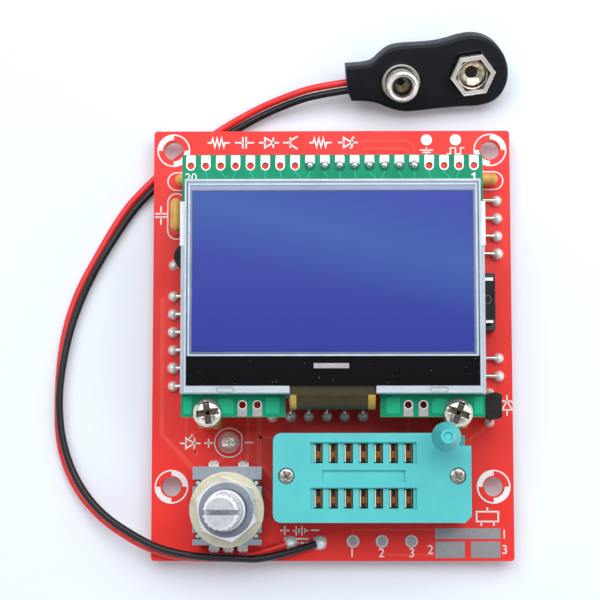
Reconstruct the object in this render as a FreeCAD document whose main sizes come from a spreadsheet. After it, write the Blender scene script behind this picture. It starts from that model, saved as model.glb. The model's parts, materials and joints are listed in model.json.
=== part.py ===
"""Electronic component tester on an open circuit board, with display, test socket and encoder.

Millimetres, +Z up. The origin lies on the surface that the tester stands on, below the middle of
the main board. +X runs along the short side of the board, +Y towards the display's header row.
"""
import FreeCAD, Part
import math
import os

import Sketcher
from FreeCAD import Placement, Rotation, Vector

SIZES = {
    # Main board, which follows the display and the test socket that it carries
    "board_side_margin": 6.15,
    "board_far_margin": 6.8,
    "display_gap": 2.65,
    "board_near_margin": 7.0,
    "board_thickness": 1.6,
    "board_lift": 2.6,
    "board_corner": 0.6,
    "mount_hole_diameter": 3.4,
    "mount_hole_margin": 3.5,
    "mount_hole_rows": 59.8,
    # Leads, holes and solder
    "lead_diameter": 0.6,
    "lead_hole_clearance": 0.15,
    "lead_bend": 0.7,
    "joint_tip_land": 0.1,
    "joint_foot_land": 0.5,
    "fillet_diameter": 1.9,
    "bore_clearance": 0.02,
    "running_clearance": 0.05,
    # Display board and its pillars
    "lcd_board_width": 51.2,
    "lcd_board_length": 44.7,
    "lcd_board_thickness": 1.6,
    "standoff_height": 12.0,
    "standoff_flats": 5.0,
    "standoff_side_margin": 4.55,
    "standoff_edge_margin": 0.7,
    "lcd_screw_diameter": 2.5,
    "lcd_screw_length": 6.0,
    "lcd_screw_head_diameter": 4.9,
    "lcd_screw_head_height": 1.9,
    "lcd_screw_rim_height": 0.9,
    "lcd_screw_crown_diameter": 3.2,
    "lcd_screw_slack": 0.1,
    "cross_recess_width": 0.7,
    "cross_recess_length": 2.6,
    "cross_recess_depth": 1.0,
    "flex_notch_width": 16.0,
    "flex_notch_depth": 3.8,
    "pad_pitch": 2.54,
    "pad_hole_diameter": 1.2,
    "pad_row_margin": 1.9,
    "spare_pad_margin": 2.05,
    "spare_pad_offset": 13.97,
    # Pin header between the two boards
    "header_pin_diameter": 0.64,
    "header_pin_proud": 0.7,
    "header_pin_engagement": 6.0,
    "lcd_socket_height": 8.5,
    "lcd_socket_width": 2.5,
    "lcd_socket_bore": 0.9,
    # Display stack
    "backlight_side_margin": 0.7,
    "backlight_near_margin": 3.8,
    "backlight_far_margin": 4.75,
    "backlight_floor": 1.8,
    "backlight_rim": 0.4,
    "backlight_near_rim": 1.3,
    "backlight_rim_height": 3.6,
    "backlight_wing_height": 2.2,
    "backlight_wing_setback": 3.6,
    "glass_thickness": 0.9,
    "glass_clearance": 0.1,
    "polarizer_thickness": 0.2,
    "polarizer_side_inset": 0.85,
    "polarizer_near_inset": 0.65,
    "polarizer_far_inset": 1.6,
    "shield_width": 4.9,
    "shield_thickness": 1.0,
    "chip_length": 18.0,
    "chip_width": 1.4,
    "chip_thickness": 0.6,
    "chip_edge_margin": 1.6,
    "flex_width": 14.2,
    "flex_thickness": 0.2,
    "flex_landing": 0.7,
    "flex_tail": 2.8,
    # Processor in its socket
    "ic_pitch": 2.54,
    "ic_row_spacing": 7.62,
    "ic_right_margin": 3.25,
    "ic_from_near": 16.58,
    "ic_socket_width": 10.0,
    "ic_socket_height": 4.2,
    "ic_socket_window": 4.6,
    "ic_socket_end": 2.3,
    "ic_socket_bore": 0.9,
    "ic_body_width": 6.6,
    "ic_body_height": 3.3,
    "ic_body_gap": 0.4,
    "ic_body_end_margin": 0.4,
    "ic_lead_width": 0.5,
    "ic_lead_thickness": 0.25,
    "ic_lead_depth": 2.6,
    "ic_lead_shoulder": 1.3,
    "ic_notch_diameter": 1.6,
    # Resistors
    "resistor_length": 6.3,
    "resistor_diameter": 1.9,
    "resistor_cap_diameter": 2.3,
    "resistor_cap_length": 1.7,
    "resistor_span": 12.7,
    "resistor_pitch": 3.175,
    "resistor_clearance": 0.2,
    "left_column_margin": 3.65,
    "left_column_from_middle": -0.65,
    "left_column_from_near": 5.825,
    "right_column_margin": 2.45,
    "right_upper_from_middle": 16.35,
    "right_lower_from_near": 10.7,
    "bottom_row_from_near": 0.5,
    "bottom_row_start": -10.5,
    # Other small parts
    "big_ceramic_margin": 4.45,
    "big_ceramic_from_middle": 13.25,
    "small_ceramic_from_middle": 19.85,
    "left_ceramic_margin": 6.2,
    "right_ceramic_margin": 4.6,
    "ceramic_width": 5.8,
    "ceramic_thickness": 2.0,
    "ceramic_height": 5.6,
    "ceramic_small_width": 4.2,
    "ceramic_small_thickness": 1.9,
    "ceramic_small_height": 3.3,
    "ceramic_lead_height": 1.2,
    "ceramic_lead_pitch": 2.54,
    "electrolytic_offset": -12.0,
    "electrolytic_far": 17.6,
    "electrolytic_step": 6.4,
    "electrolytic_step_far": -4.2,
    "electrolytic_diameter": 4.0,
    "electrolytic_height": 7.0,
    "electrolytic_lead_pitch": 1.5,
    "crystal_offset": 5.1,
    "crystal_from_middle": 8.85,
    "crystal_capacitor_step": 8.6,
    "crystal_capacitor_gap": 4.9,
    "crystal_length": 11.0,
    "crystal_width": 4.6,
    "crystal_height": 3.5,
    "crystal_lead_pitch": 4.9,
    "reference_margin": 4.1,
    "reference_from_near": 2.05,
    "left_transistor_margin": 6.7,
    "left_transistor_from_middle": 5.5,
    "inner_transistor_offset": -13.2,
    "inner_transistor_from_middle": 3.65,
    "inner_transistor_step": -5.2,
    "inner_transistor_step_far": -10.5,
    "transistor_diameter": 4.6,
    "transistor_flat": 1.3,
    "transistor_height": 4.6,
    "transistor_lift": 4.2,
    "transistor_lead_width": 0.45,
    "transistor_lead_pitch": 1.27,
    "transistor_hole_pitch": 2.54,
    "transistor_crank_height": 1.6,
    "part_seat_gap": 0.3,
    "led_setback": 1.45,
    "led_diameter": 3.0,
    "led_flange_diameter": 3.8,
    "led_flange_height": 1.0,
    "led_height": 4.4,
    "led_lift": 0.9,
    "led_lead_pitch": 2.54,
    # Rotary encoder with push switch
    "encoder_zif_gap": 2.09,
    "encoder_near_margin": 9.08,
    "encoder_width": 11.9,
    "encoder_length": 13.4,
    "encoder_body_offset": 0.65,
    "encoder_base_height": 3.9,
    "encoder_frame_height": 2.1,
    "encoder_sheet": 0.45,
    "encoder_leg_width": 7.8,
    "encoder_tang_width": 2.0,
    "encoder_notch_width": 1.2,
    "encoder_notch_depth": 1.45,
    "encoder_post_inset": 0.5,
    "encoder_post_spacing": 9.06,
    "encoder_post_diameter": 0.7,
    "bushing_diameter": 7.0,
    "bushing_height": 7.0,
    "shaft_diameter": 6.0,
    "shaft_length": 20.0,
    "shaft_tail_diameter": 4.4,
    "shaft_tail_flat": 1.6,
    "shaft_step_gap": 0.15,
    "shaft_chamfer": 0.5,
    "shaft_relief_depth": 0.15,
    "shaft_relief_below": 0.5,
    "shaft_relief_above": 0.3,
    "shaft_slot_width": 0.9,
    "shaft_slot_depth": 7.0,
    "knurl_length": 9.0,
    "knurl_diameter": 5.8,
    "knurl_depth": 0.25,
    "knurl_width": 0.5,
    "rotor_diameter": 9.2,
    "rotor_height": 1.7,
    "rotor_gap": 0.3,
    "push_travel": 0.5,
    "dome_diameter": 4.8,
    "dome_height": 0.9,
    "dome_top_diameter": 1.4,
    "dome_floor": 0.5,
    "washer_diameter": 12.9,
    "washer_thickness": 0.5,
    "nut_flats": 9.8,
    "nut_height": 2.0,
    "nut_chamfer": 0.95,
    "terminal_width": 1.8,
    "terminal_thickness": 0.3,
    "terminal_height": 1.2,
    "terminal_reach": 1.2,
    "switch_terminal_reach": 0.6,
    "terminal_tang_width": 0.9,
    "terminal_pitch": 2.5,
    "switch_terminal_pitch": 5.2,
    # Test socket
    "zif_length": 33.4,
    "zif_width": 15.05,
    "zif_right_margin": 8.45,
    "zif_base_inset": 0.2,
    "zif_base_height": 5.2,
    "zif_cover_height": 7.15,
    "zif_corner": 1.4,
    "zif_chamfer": 1.1,
    "zif_row_spacing": 7.62,
    "zif_row_offset": 0.3,
    "zif_contact_pitch": 2.54,
    "zif_contact_shift": -1.44,
    "zif_leaf_thickness": 0.25,
    "zif_leaf_gap": 0.7,
    "zif_leaf_width": 2.9,
    "zif_contact_depth": 1.35,
    "zif_contact_foot": 0.5,
    "zif_contact_seat": 0.4,
    "zif_slot_width": 1.5,
    "zif_slot_length": 3.3,
    "zif_trough_length": 17.9,
    "zif_trough_width": 3.7,
    "zif_trough_depth": 0.7,
    "zif_panel_length": 14.0,
    "zif_panel_width": 1.95,
    "zif_panel_depth": 0.5,
    "zif_travel": 0.6,
    "zif_slider_gap": 0.2,
    "zif_slider_thickness": 1.8,
    "zif_slider_web": 0.35,
    "zif_slider_end_margin": 4.6,
    "zif_slider_run": 2.3,
    "zif_slider_side_gap": 0.3,
    "zif_slot_clearance": 0.1,
    "zif_tongue_rail": 0.6,
    "zif_screw_end_margin": 2.25,
    "zif_screw_diameter": 1.5,
    "zif_screw_head_diameter": 2.7,
    "zif_screw_head_height": 0.9,
    "zif_screw_recess": 0.5,
    "zif_screw_length": 9.0,
    "zif_screw_slot": 0.5,
    "lever_end_margin": 4.7,
    "lever_shaft_diameter": 2.4,
    "lever_pivot_height": 3.8,
    "lever_shaft_length": 7.6,
    "lever_arm_width": 2.0,
    "lever_arm_thickness": 1.7,
    "lever_arm_length": 12.6,
    "lever_arm_proud": 0.1,
    "lever_notch_width": 2.15,
    "lever_clearance": 0.25,
    "lever_tang_width": 1.2,
    "lever_tang_length": 3.6,
    "cam_diameter": 4.4,
    "cam_width": 1.4,
    "cam_setback": 3.5,
    "cam_clearance": 0.15,
    "knob_diameter": 4.9,
    "knob_top_diameter": 2.4,
    "knob_foot_diameter": 3.2,
    "knob_height": 7.6,
    "knob_skirt_diameter": 4.6,
    "knob_skirt_height": 1.9,
    "knob_bulge_height": 3.2,
    "knob_shoulder_diameter": 4.5,
    "knob_shoulder_height": 4.5,
    "knob_dent_diameter": 1.5,
    "knob_dent_floor": 0.9,
    "knob_dent_depth": 0.4,
    # Battery lead and snap
    "wire_diameter": 1.3,
    "wire_pad_offset": -2.28,
    "wire_pad_pitch": 5.2,
    "wire_pad_margin": 3.1,
    "wire_joint_diameter": 2.0,
    "wire_joint_top": 1.2,
    "wire_joint_height": 1.5,
    "snap_offset_x": 18.4,
    "snap_offset_y": 10.9,
    "snap_contact_pitch": 12.7,
    "snap_thickness": 3.6,
    "snap_hex_end": 13.3,
    "snap_stud_end": 11.9,
    "snap_waist": 11.7,
    "snap_tail_width": 6.7,
    "snap_neck_width": 7.2,
    "snap_tail_length": 9.3,
    "snap_neck_length": 5.2,
    "snap_skin": 1.1,
    "snap_plate_thickness": 1.0,
    "snap_plate_width": 8.4,
    "snap_plate_overhang": 3.6,
    "snap_hole_clearance": 0.15,
    "stud_flange_diameter": 6.6,
    "stud_diameter": 5.6,
    "stud_bore": 3.8,
    "stud_height": 4.0,
    "hex_flange_diameter": 8.4,
    "hex_flats": 7.0,
    "hex_bore": 5.4,
    "hex_height": 3.4,
    "contact_sheet": 0.4,
}

PAD_COUNT = 20
FIRST_SOLDERED_PAD = 5
LAST_SOLDERED_PAD = 12
IC_PINS_PER_ROW = 14
ZIF_COLUMNS = 7
LEFT_RESISTORS = 6
RIGHT_UPPER_RESISTORS = 4
RIGHT_LOWER_RESISTORS = 2
BOTTOM_RESISTORS = 6
KNURL_COUNT = 18
HEXAGON_SIDE_COUNT = 6
NUT_TURN = 40.0
SNAP_TURN = 8.3
SNAP_TILT = 30.0
CUT_MARGIN = 0.5
CAM_SPREAD = math.sqrt(2)
HEXAGON_CORNER = 2 / math.sqrt(3)
SQUARE_CORNER = math.sqrt(2)

# Routes of the two wires, from the solder joint to the tail of the snap
BLACK_ROUTE = [
    (-2.90, -35.10, 5.15), (-11.15, -37.79, 6.00), (-17.26, -37.51, 6.47), (-23.56, -37.28, 6.78),
    (-29.48, -36.08, 6.87), (-33.56, -34.28, 6.03), (-40.53, -30.10, 3.82), (-45.37, -24.22, 2.10),
    (-48.02, -17.09, 1.87), (-48.67, -9.66, 2.06), (-47.88, -2.50, 1.93), (-46.36, 4.13, 1.68),
    (-44.04, 10.19, 1.49), (-41.17, 15.62, 1.70), (-38.07, 20.72, 1.35), (-34.95, 25.25, 1.33),
    (-29.52, 30.65, 0.90), (-24.06, 34.58, 0.84), (-18.40, 38.35, 1.01), (-12.34, 41.57, 1.85),
    (-7.13, 43.57, 2.91), (-2.865, 44.75, 3.80), (3.075, 45.616, 3.816),
]
RED_ROUTE = [
    (-8.10, -35.20, 5.05), (-12.36, -36.68, 4.93), (-18.56, -37.70, 4.95), (-25.06, -37.51, 4.95),
    (-29.46, -36.84, 5.35), (-34.25, -34.95, 4.94), (-41.20, -30.63, 2.60), (-46.19, -24.68, 1.06),
    (-48.78, -17.33, 0.67), (-48.98, -9.63, 0.71), (-48.64, -2.51, 0.70), (-47.45, 4.24, 0.70),
    (-45.23, 10.48, 0.70), (-42.17, 16.06, 0.70), (-39.20, 21.40, 0.70), (-36.03, 26.09, 0.70),
    (-30.22, 31.76, 0.69), (-24.81, 35.69, 0.79), (-19.10, 39.57, 1.11), (-12.92, 42.79, 2.22),
    (-7.68, 44.68, 3.55), (-3.05, 46.04, 4.55), (2.888, 46.902, 4.566),
]
ARC_SHARE = 0.45


class Size:
    """A length in millimetres together with the spreadsheet expression that gives it."""

    def __init__(self, value, text):
        self.value = value
        self.text = text

    def __add__(self, other):
        other = as_size(other)
        return Size(self.value + other.value, f"({self.text} + {other.text})")

    def __sub__(self, other):
        other = as_size(other)
        return Size(self.value - other.value, f"({self.text} - {other.text})")

    def __mul__(self, other):
        other = as_size(other)
        return Size(self.value * other.value, f"({self.text} * {other.text})")

    def __truediv__(self, other):
        other = as_size(other)
        return Size(self.value / other.value, f"({self.text} / {other.text})")

    def __neg__(self):
        return self * -1

    def __radd__(self, other):
        return as_size(other) + self

    def __rsub__(self, other):
        return as_size(other) - self

    def __rmul__(self, other):
        return as_size(other) * self


def as_size(length):
    """The length as a Size, also where it is a plain number."""
    if isinstance(length, Size):
        return length
    return Size(float(length), f"({float(length):.6f})")


class Sheet:
    """The driving sizes as attributes, each tied to its own spreadsheet cell."""

    def __init__(self, document, sizes):
        self.cells = document.addObject("Spreadsheet::Sheet", "Sizes")
        for row, (alias, value) in enumerate(sizes.items(), start=1):
            self.cells.set(f"A{row}", alias)
            self.cells.set(f"B{row}", str(value))
            self.cells.setAlias(f"B{row}", alias)
            setattr(self, alias, Size(value, f"Sizes.{alias}"))


doc = FreeCAD.newDocument("component_tester")
size = Sheet(doc, SIZES)
doc.recompute()

PARTS = []
BOARD_CUTS = []
JOINTS = {"zif": [], "lcd": [], "encoder": [], "component": []}
TOP_FILLETS = []


def bind(item, prop, length):
    """Tie one property of a document object to its expression."""
    item.setExpression(prop, as_size(length).text)


def place(item, x, y, z, rotation=None):
    """Put an object at a place that follows the spreadsheet."""
    if rotation is not None:
        item.Placement = Placement(Vector(), rotation)
    for axis, length in zip("xyz", (x, y, z)):
        bind(item, f"Placement.Base.{axis}", length)
    return item


def box(x, y, z, length, width, height):
    """A block centred on x and y that stands on z."""
    item = doc.addObject("Part::Box", "block")
    bind(item, "Length", length)
    bind(item, "Width", width)
    bind(item, "Height", height)
    return place(item, x - as_size(length) / 2, y - as_size(width) / 2, z)


def span_box(x_range, y_range, z_range):
    """A block between two limits along each axis."""
    ranges = (x_range, y_range, z_range)
    (x0, x1), (y0, y1), (z0, z1) = ([as_size(end) for end in pair] for pair in ranges)
    return box((x0 + x1) / 2, (y0 + y1) / 2, z0, x1 - x0, y1 - y0, z1 - z0)


def cylinder(x, y, z, diameter, height, heading=(0, 0, 1)):
    """A round bar that starts at a point and runs along a heading."""
    item = doc.addObject("Part::Cylinder", "bar")
    bind(item, "Radius", as_size(diameter) / 2)
    bind(item, "Height", height)
    return place(item, x, y, z, Rotation(Vector(0, 0, 1), Vector(*heading)))


def cone(x, y, z, foot_diameter, top_diameter, height):
    """A round taper that stands on z."""
    item = doc.addObject("Part::Cone", "taper")
    bind(item, "Radius1", as_size(foot_diameter) / 2)
    bind(item, "Radius2", as_size(top_diameter) / 2)
    bind(item, "Height", height)
    return place(item, x, y, z)


def hexagon(x, y, z, flats, height, turn=None):
    """A six-sided bar of a given width across its flats."""
    item = doc.addObject("Part::Prism", "hexagon")
    item.Polygon = HEXAGON_SIDE_COUNT
    bind(item, "Circumradius", as_size(flats) / 2 * HEXAGON_CORNER)
    bind(item, "Height", height)
    return place(item, x, y, z, turn)


def ball(x, y, z, diameter):
    """A whole ball round a point."""
    item = doc.addObject("Part::Sphere", "ball")
    bind(item, "Radius", as_size(diameter) / 2)
    return place(item, x, y, z)


def half_ball(x, y, z, diameter):
    """The upper half of a ball."""
    item = doc.addObject("Part::Sphere", "half_ball")
    bind(item, "Radius", as_size(diameter) / 2)
    item.Angle1 = 0
    return place(item, x, y, z)


def group(*items):
    """Separate solids kept together."""
    item = doc.addObject("Part::Compound", "group")
    item.Links = list(items)
    return item


def fuse(*items):
    """One solid out of several that touch."""
    item = doc.addObject("Part::MultiFuse", "fusion")
    item.Shapes = list(items)
    return item


def common(*items):
    """What several solids share."""
    item = doc.addObject("Part::MultiCommon", "common")
    item.Shapes = list(items)
    return item


def cut(base, *tools):
    """A solid with other solids taken out of it."""
    item = doc.addObject("Part::Cut", "cut")
    item.Base = base
    item.Tool = tools[0] if len(tools) == 1 else group(*tools)
    return item


def part(label, item):
    """Hand an object in as a named piece of the tester."""
    item.Label = label
    PARTS.append(item)
    return item


def sketch_on(body, role, offset=0):
    """A sketch on one of the body's own origin planes."""
    sketch = body.newObject("Sketcher::SketchObject", "sketch")
    plane = next(item for item in body.Origin.OriginFeatures if item.Role == role)
    sketch.AttachmentSupport = [(plane, "")]
    sketch.MapMode = "FlatFace"
    bind(sketch, "AttachmentOffset.Base.z", offset)
    return sketch


def pin_point(sketch, geometry, position, u, v):
    """Hold a sketch point at two bound distances from the sketch origin."""
    for kind, length in (("DistanceX", as_size(u)), ("DistanceY", as_size(v))):
        row = sketch.addConstraint(Sketcher.Constraint(kind, -1, 1, geometry, position, length.value))
        bind(sketch, f"Constraints[{row}]", length)


def polygon(sketch, points):
    """A closed outline of straight edges through bound points."""
    first = sketch.GeometryCount
    count = len(points)
    corners = [Vector(as_size(u).value, as_size(v).value, 0) for u, v in points]
    for index in range(count):
        sketch.addGeometry(Part.LineSegment(corners[index], corners[(index + 1) % count]))
    for index in range(count):
        after = first + (index + 1) % count
        sketch.addConstraint(Sketcher.Constraint("Coincident", first + index, 2, after, 1))
    for index, (u, v) in enumerate(points):
        pin_point(sketch, first + index, 1, u, v)


def circle(sketch, u, v, diameter):
    """A circle with bound centre and diameter."""
    middle = Vector(as_size(u).value, as_size(v).value, 0)
    row = sketch.addGeometry(Part.Circle(middle, Vector(0, 0, 1), as_size(diameter).value / 2))
    pin_point(sketch, row, 3, u, v)
    rule = sketch.addConstraint(Sketcher.Constraint("Diameter", row, as_size(diameter).value))
    bind(sketch, f"Constraints[{rule}]", diameter)


def pad(body, sketch, height):
    """Material raised from a sketch."""
    feature = body.newObject("PartDesign::Pad", "pad")
    feature.Profile = sketch
    bind(feature, "Length", height)
    return feature


def pocket(body, sketch, depth, upward=False):
    """Material taken away below a sketch, or above it."""
    feature = body.newObject("PartDesign::Pocket", "pocket")
    feature.Profile = sketch
    feature.Reversed = upward
    bind(feature, "Length", depth)
    return feature


def round_upright_edges(body, feature, radius, wanted):
    """Round the upright edges whose place the test picks."""
    doc.recompute()
    names = []
    for number, edge in enumerate(feature.Shape.Edges, start=1):
        along = edge.tangentAt(edge.FirstParameter)
        if abs(along.z) > 0.999 and wanted(edge.CenterOfMass):
            names.append(f"Edge{number}")
    rounding = body.newObject("PartDesign::Fillet", "rounding")
    rounding.Base = (feature, names)
    bind(rounding, "Radius", radius)
    return rounding


def turned(profile, x, y, z):
    """A turned piece from (radius, height) points, standing upright at a place."""
    body = doc.addObject("PartDesign::Body", "turned")
    sketch = sketch_on(body, "XZ_Plane")
    polygon(sketch, profile)
    feature = body.newObject("PartDesign::Revolution", "revolution")
    feature.Profile = sketch
    feature.ReferenceAxis = (sketch, ["V_Axis"])
    feature.Angle = 360
    place(body, x, y, z)
    return body


# Places that several pieces share
board_width = size.lcd_board_width + 2 * size.board_side_margin
board_length = (size.board_far_margin + size.lcd_board_length + size.display_gap
                + size.zif_width + size.board_near_margin)
board_side = board_width / 2
board_far = board_length / 2
board_top = size.board_lift + size.board_thickness
lcd_far = board_far - size.board_far_margin
lcd_near = lcd_far - size.lcd_board_length
lcd_middle = (lcd_far + lcd_near) / 2
lcd_side = size.lcd_board_width / 2
lcd_under = board_top + size.standoff_height
lcd_face = lcd_under + size.lcd_board_thickness
zif_far = lcd_near - size.display_gap
zif_near = zif_far - size.zif_width
zif_middle_x = board_side - size.zif_right_margin - size.zif_length / 2
zif_middle_y = (zif_far + zif_near) / 2
zif_row_x = zif_middle_x + size.zif_contact_shift
zif_row_middle = zif_middle_y + size.zif_row_offset
lever_arm_y = zif_far + size.lever_arm_proud - size.lever_arm_thickness / 2
pivot_x = zif_middle_x + size.zif_length / 2 - size.lever_end_margin
pivot_z = board_top + size.lever_pivot_height
cam_y = lever_arm_y - size.cam_setback
board_cut_floor = size.board_lift - CUT_MARGIN
board_cut_height = size.board_thickness + 2 * CUT_MARGIN


def solder_joint(x, y, width, joints):
    """The cone of solder round one lead under the main board."""
    tip = width + 2 * size.joint_tip_land
    foot = width + 2 * (size.lead_hole_clearance + size.joint_foot_land)
    JOINTS[joints].append(cone(x, y, 0, tip, foot, size.board_lift))


def through_board(x, y, width, joints):
    """The round hole of one lead through the main board and the solder joint under it."""
    hole = width + 2 * size.lead_hole_clearance
    BOARD_CUTS.append(cylinder(x, y, board_cut_floor, hole, board_cut_height))
    solder_joint(x, y, width, joints)


def blade_through_board(x, y, thickness, width, joints):
    """The slot of one flat tang through the main board and the solder joint under it."""
    slack = 2 * size.lead_hole_clearance
    BOARD_CUTS.append(box(x, y, board_cut_floor, thickness + slack, width + slack, board_cut_height))
    solder_joint(x, y, width, joints)


def straight_lead(x, y, top, joints="component"):
    """A round lead from the underside of the board up to a given height."""
    through_board(x, y, size.lead_diameter, joints)
    return cylinder(x, y, size.board_lift, size.lead_diameter, top - size.board_lift)


def top_fillet(x, y, z, lead_diameter):
    """The dome of solder round a lead on the upper side of a board."""
    bore = lead_diameter + 2 * size.bore_clearance
    dome = half_ball(x, y, z, size.fillet_diameter)
    TOP_FILLETS.append(cut(dome, cylinder(x, y, z - CUT_MARGIN, bore, size.fillet_diameter)))


def bent_lead(x, y, heading, reach, height):
    """A round lead that rises from the board and bends over to run level."""
    dx, dy = heading
    bend = size.lead_bend
    corner_x = x + bend * dx
    corner_y = y + bend * dy
    upright = straight_lead(x, y, height - bend)
    elbow = doc.addObject("Part::Torus", "elbow")
    bind(elbow, "Radius1", bend)
    bind(elbow, "Radius2", size.lead_diameter / 2)
    elbow.Angle3 = 90
    inward = Vector(-dx, -dy, 0)
    upward = Vector(0, 0, 1)
    place(elbow, corner_x, corner_y, height - bend, Rotation(inward, upward, inward.cross(upward), "XYZ"))
    level = cylinder(corner_x, corner_y, height, size.lead_diameter, reach - bend, (dx, dy, 0))
    return fuse(upright, elbow, level)


def make_main_board():
    """The red board with its mounting holes and a hole for every lead."""
    body = doc.addObject("PartDesign::Body", "board_blank")
    outline = sketch_on(body, "XY_Plane", size.board_lift)
    polygon(outline, [(-board_side, -board_far), (board_side, -board_far),
                      (board_side, board_far), (-board_side, board_far)])
    plate = pad(body, outline, size.board_thickness)
    plate = round_upright_edges(body, plate, size.board_corner, lambda place_: True)
    holes = sketch_on(body, "XY_Plane", size.board_lift)
    hole_x = board_side - size.mount_hole_margin
    upper_y = board_far - size.mount_hole_margin
    for x in (-hole_x, hole_x):
        for y in (upper_y, upper_y - size.mount_hole_rows):
            circle(holes, x, y, size.mount_hole_diameter)
    pocket(body, holes, size.board_thickness, upward=True)
    part("main_board", cut(body, *BOARD_CUTS))


def pad_x(number):
    """Where a numbered pad of the display board lies, counted from the right."""
    return size.pad_pitch * ((PAD_COUNT + 1) / 2 - number)


def make_screw(x, y, z, length, up):
    """A cross-head screw whose head rests on z, with its shank below it or, turned over, above."""
    side = 1 if up else -1
    head = size.lcd_screw_head_diameter / 2
    shank = size.lcd_screw_diameter / 2
    tall = size.lcd_screw_head_height
    rim = size.lcd_screw_rim_height
    crown = size.lcd_screw_crown_diameter / 2
    profile = [(0, length * -side), (shank, length * -side), (shank, 0), (head, 0), (head, rim * side),
               (crown, tall * side), (0, tall * side)]
    screw = turned(profile, x, y, z)
    depth = size.cross_recess_depth
    start = z + tall - depth if up else z - tall - CUT_MARGIN
    arms = [box(x, y, start, long, wide, depth + CUT_MARGIN)
            for long, wide in ((size.cross_recess_length, size.cross_recess_width),
                               (size.cross_recess_width, size.cross_recess_length))]
    return cut(screw, fuse(*arms))


def make_display_board():
    """The green display board on two pillars, with the screws that hold it."""
    body = doc.addObject("PartDesign::Body", "lcd_blank")
    outline = sketch_on(body, "XY_Plane", lcd_under)
    notch_side = size.flex_notch_width / 2
    notch_end = lcd_near + size.flex_notch_depth
    polygon(outline, [(-lcd_side, lcd_near), (-notch_side, lcd_near), (-notch_side, notch_end),
                      (notch_side, notch_end), (notch_side, lcd_near), (lcd_side, lcd_near),
                      (lcd_side, lcd_far), (-lcd_side, lcd_far)])
    pad(body, outline, size.lcd_board_thickness)
    cut_floor = lcd_under - CUT_MARGIN
    cut_height = size.lcd_board_thickness + 2 * CUT_MARGIN
    row_y = lcd_far - size.pad_row_margin
    tools = [cylinder(pad_x(number), row_y, cut_floor, size.pad_hole_diameter, cut_height)
             for number in range(1, PAD_COUNT + 1)]
    for side in (-1, 1):
        for step in (-0.5, 0.5):
            x = size.spare_pad_offset * side + size.pad_pitch * step
            y = lcd_near + size.spare_pad_margin
            tools.append(cylinder(x, y, cut_floor, size.pad_hole_diameter, cut_height))
    pillars = []
    top_screws = []
    low_screws = []
    shank_hole = size.lcd_screw_diameter + 2 * size.lcd_screw_slack
    thread_bore = size.lcd_screw_diameter + 2 * size.bore_clearance
    pillar_y = lcd_near + size.standoff_edge_margin
    for side in (-1, 1):
        x = (lcd_side - size.standoff_side_margin) * side
        mouth = box(x, pillar_y - size.lcd_screw_diameter, cut_floor, shank_hole,
                    size.lcd_screw_diameter * 2, cut_height)
        tools.append(fuse(mouth, cylinder(x, pillar_y, cut_floor, shank_hole, cut_height)))
        pillar = hexagon(x, pillar_y, board_top, size.standoff_flats, size.standoff_height)
        pillars.append(cut(pillar, cylinder(x, pillar_y, board_top - CUT_MARGIN, thread_bore,
                                            size.standoff_height + 2 * CUT_MARGIN)))
        top_screws.append(make_screw(x, pillar_y, lcd_face, size.lcd_screw_length, up=True))
        low_screws.append(make_screw(x, pillar_y, size.board_lift, size.lcd_screw_length, up=False))
        BOARD_CUTS.append(cylinder(x, pillar_y, board_cut_floor, shank_hole, board_cut_height))
    part("lcd_board", cut(body, *tools))
    part("lcd_standoffs", group(*pillars))
    part("lcd_screws", group(*top_screws))
    part("standoff_screws", group(*low_screws))


def make_display_header():
    """The pin header that joins the two boards: socket below, strip above, eight pins."""
    numbers = range(FIRST_SOLDERED_PAD, LAST_SOLDERED_PAD + 1)
    row_y = lcd_far - size.pad_row_margin
    middle_x = (pad_x(FIRST_SOLDERED_PAD) + pad_x(LAST_SOLDERED_PAD)) / 2
    strip_length = size.pad_pitch * len(numbers)
    strip_base = board_top + size.lcd_socket_height
    strip_height = size.standoff_height - size.lcd_socket_height
    pin_foot = strip_base - size.header_pin_engagement
    pin_bore = size.header_pin_diameter + 2 * size.bore_clearance
    pins = []
    tails = []
    socket_bores = []
    strip_bores = []
    for number in numbers:
        x = pad_x(number)
        pin_length = lcd_face + size.header_pin_proud - pin_foot
        pins.append(cylinder(x, row_y, pin_foot, size.header_pin_diameter, pin_length))
        tails.append(straight_lead(x, row_y, board_top, "lcd"))
        socket_bores.append(cylinder(x, row_y, pin_foot - CUT_MARGIN, size.lcd_socket_bore,
                                     size.header_pin_engagement + 2 * CUT_MARGIN))
        strip_bores.append(cylinder(x, row_y, strip_base - CUT_MARGIN, pin_bore,
                                    strip_height + 2 * CUT_MARGIN))
        top_fillet(x, row_y, lcd_face, size.header_pin_diameter)
    socket = box(middle_x, row_y, board_top, strip_length, size.lcd_socket_width, size.lcd_socket_height)
    strip = box(middle_x, row_y, strip_base, strip_length, size.lcd_socket_width, strip_height)
    part("lcd_socket", cut(socket, *socket_bores))
    part("lcd_socket_tails", group(*tails))
    part("lcd_header_strip", cut(strip, *strip_bores))
    part("lcd_header_pins", group(*pins))


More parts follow.
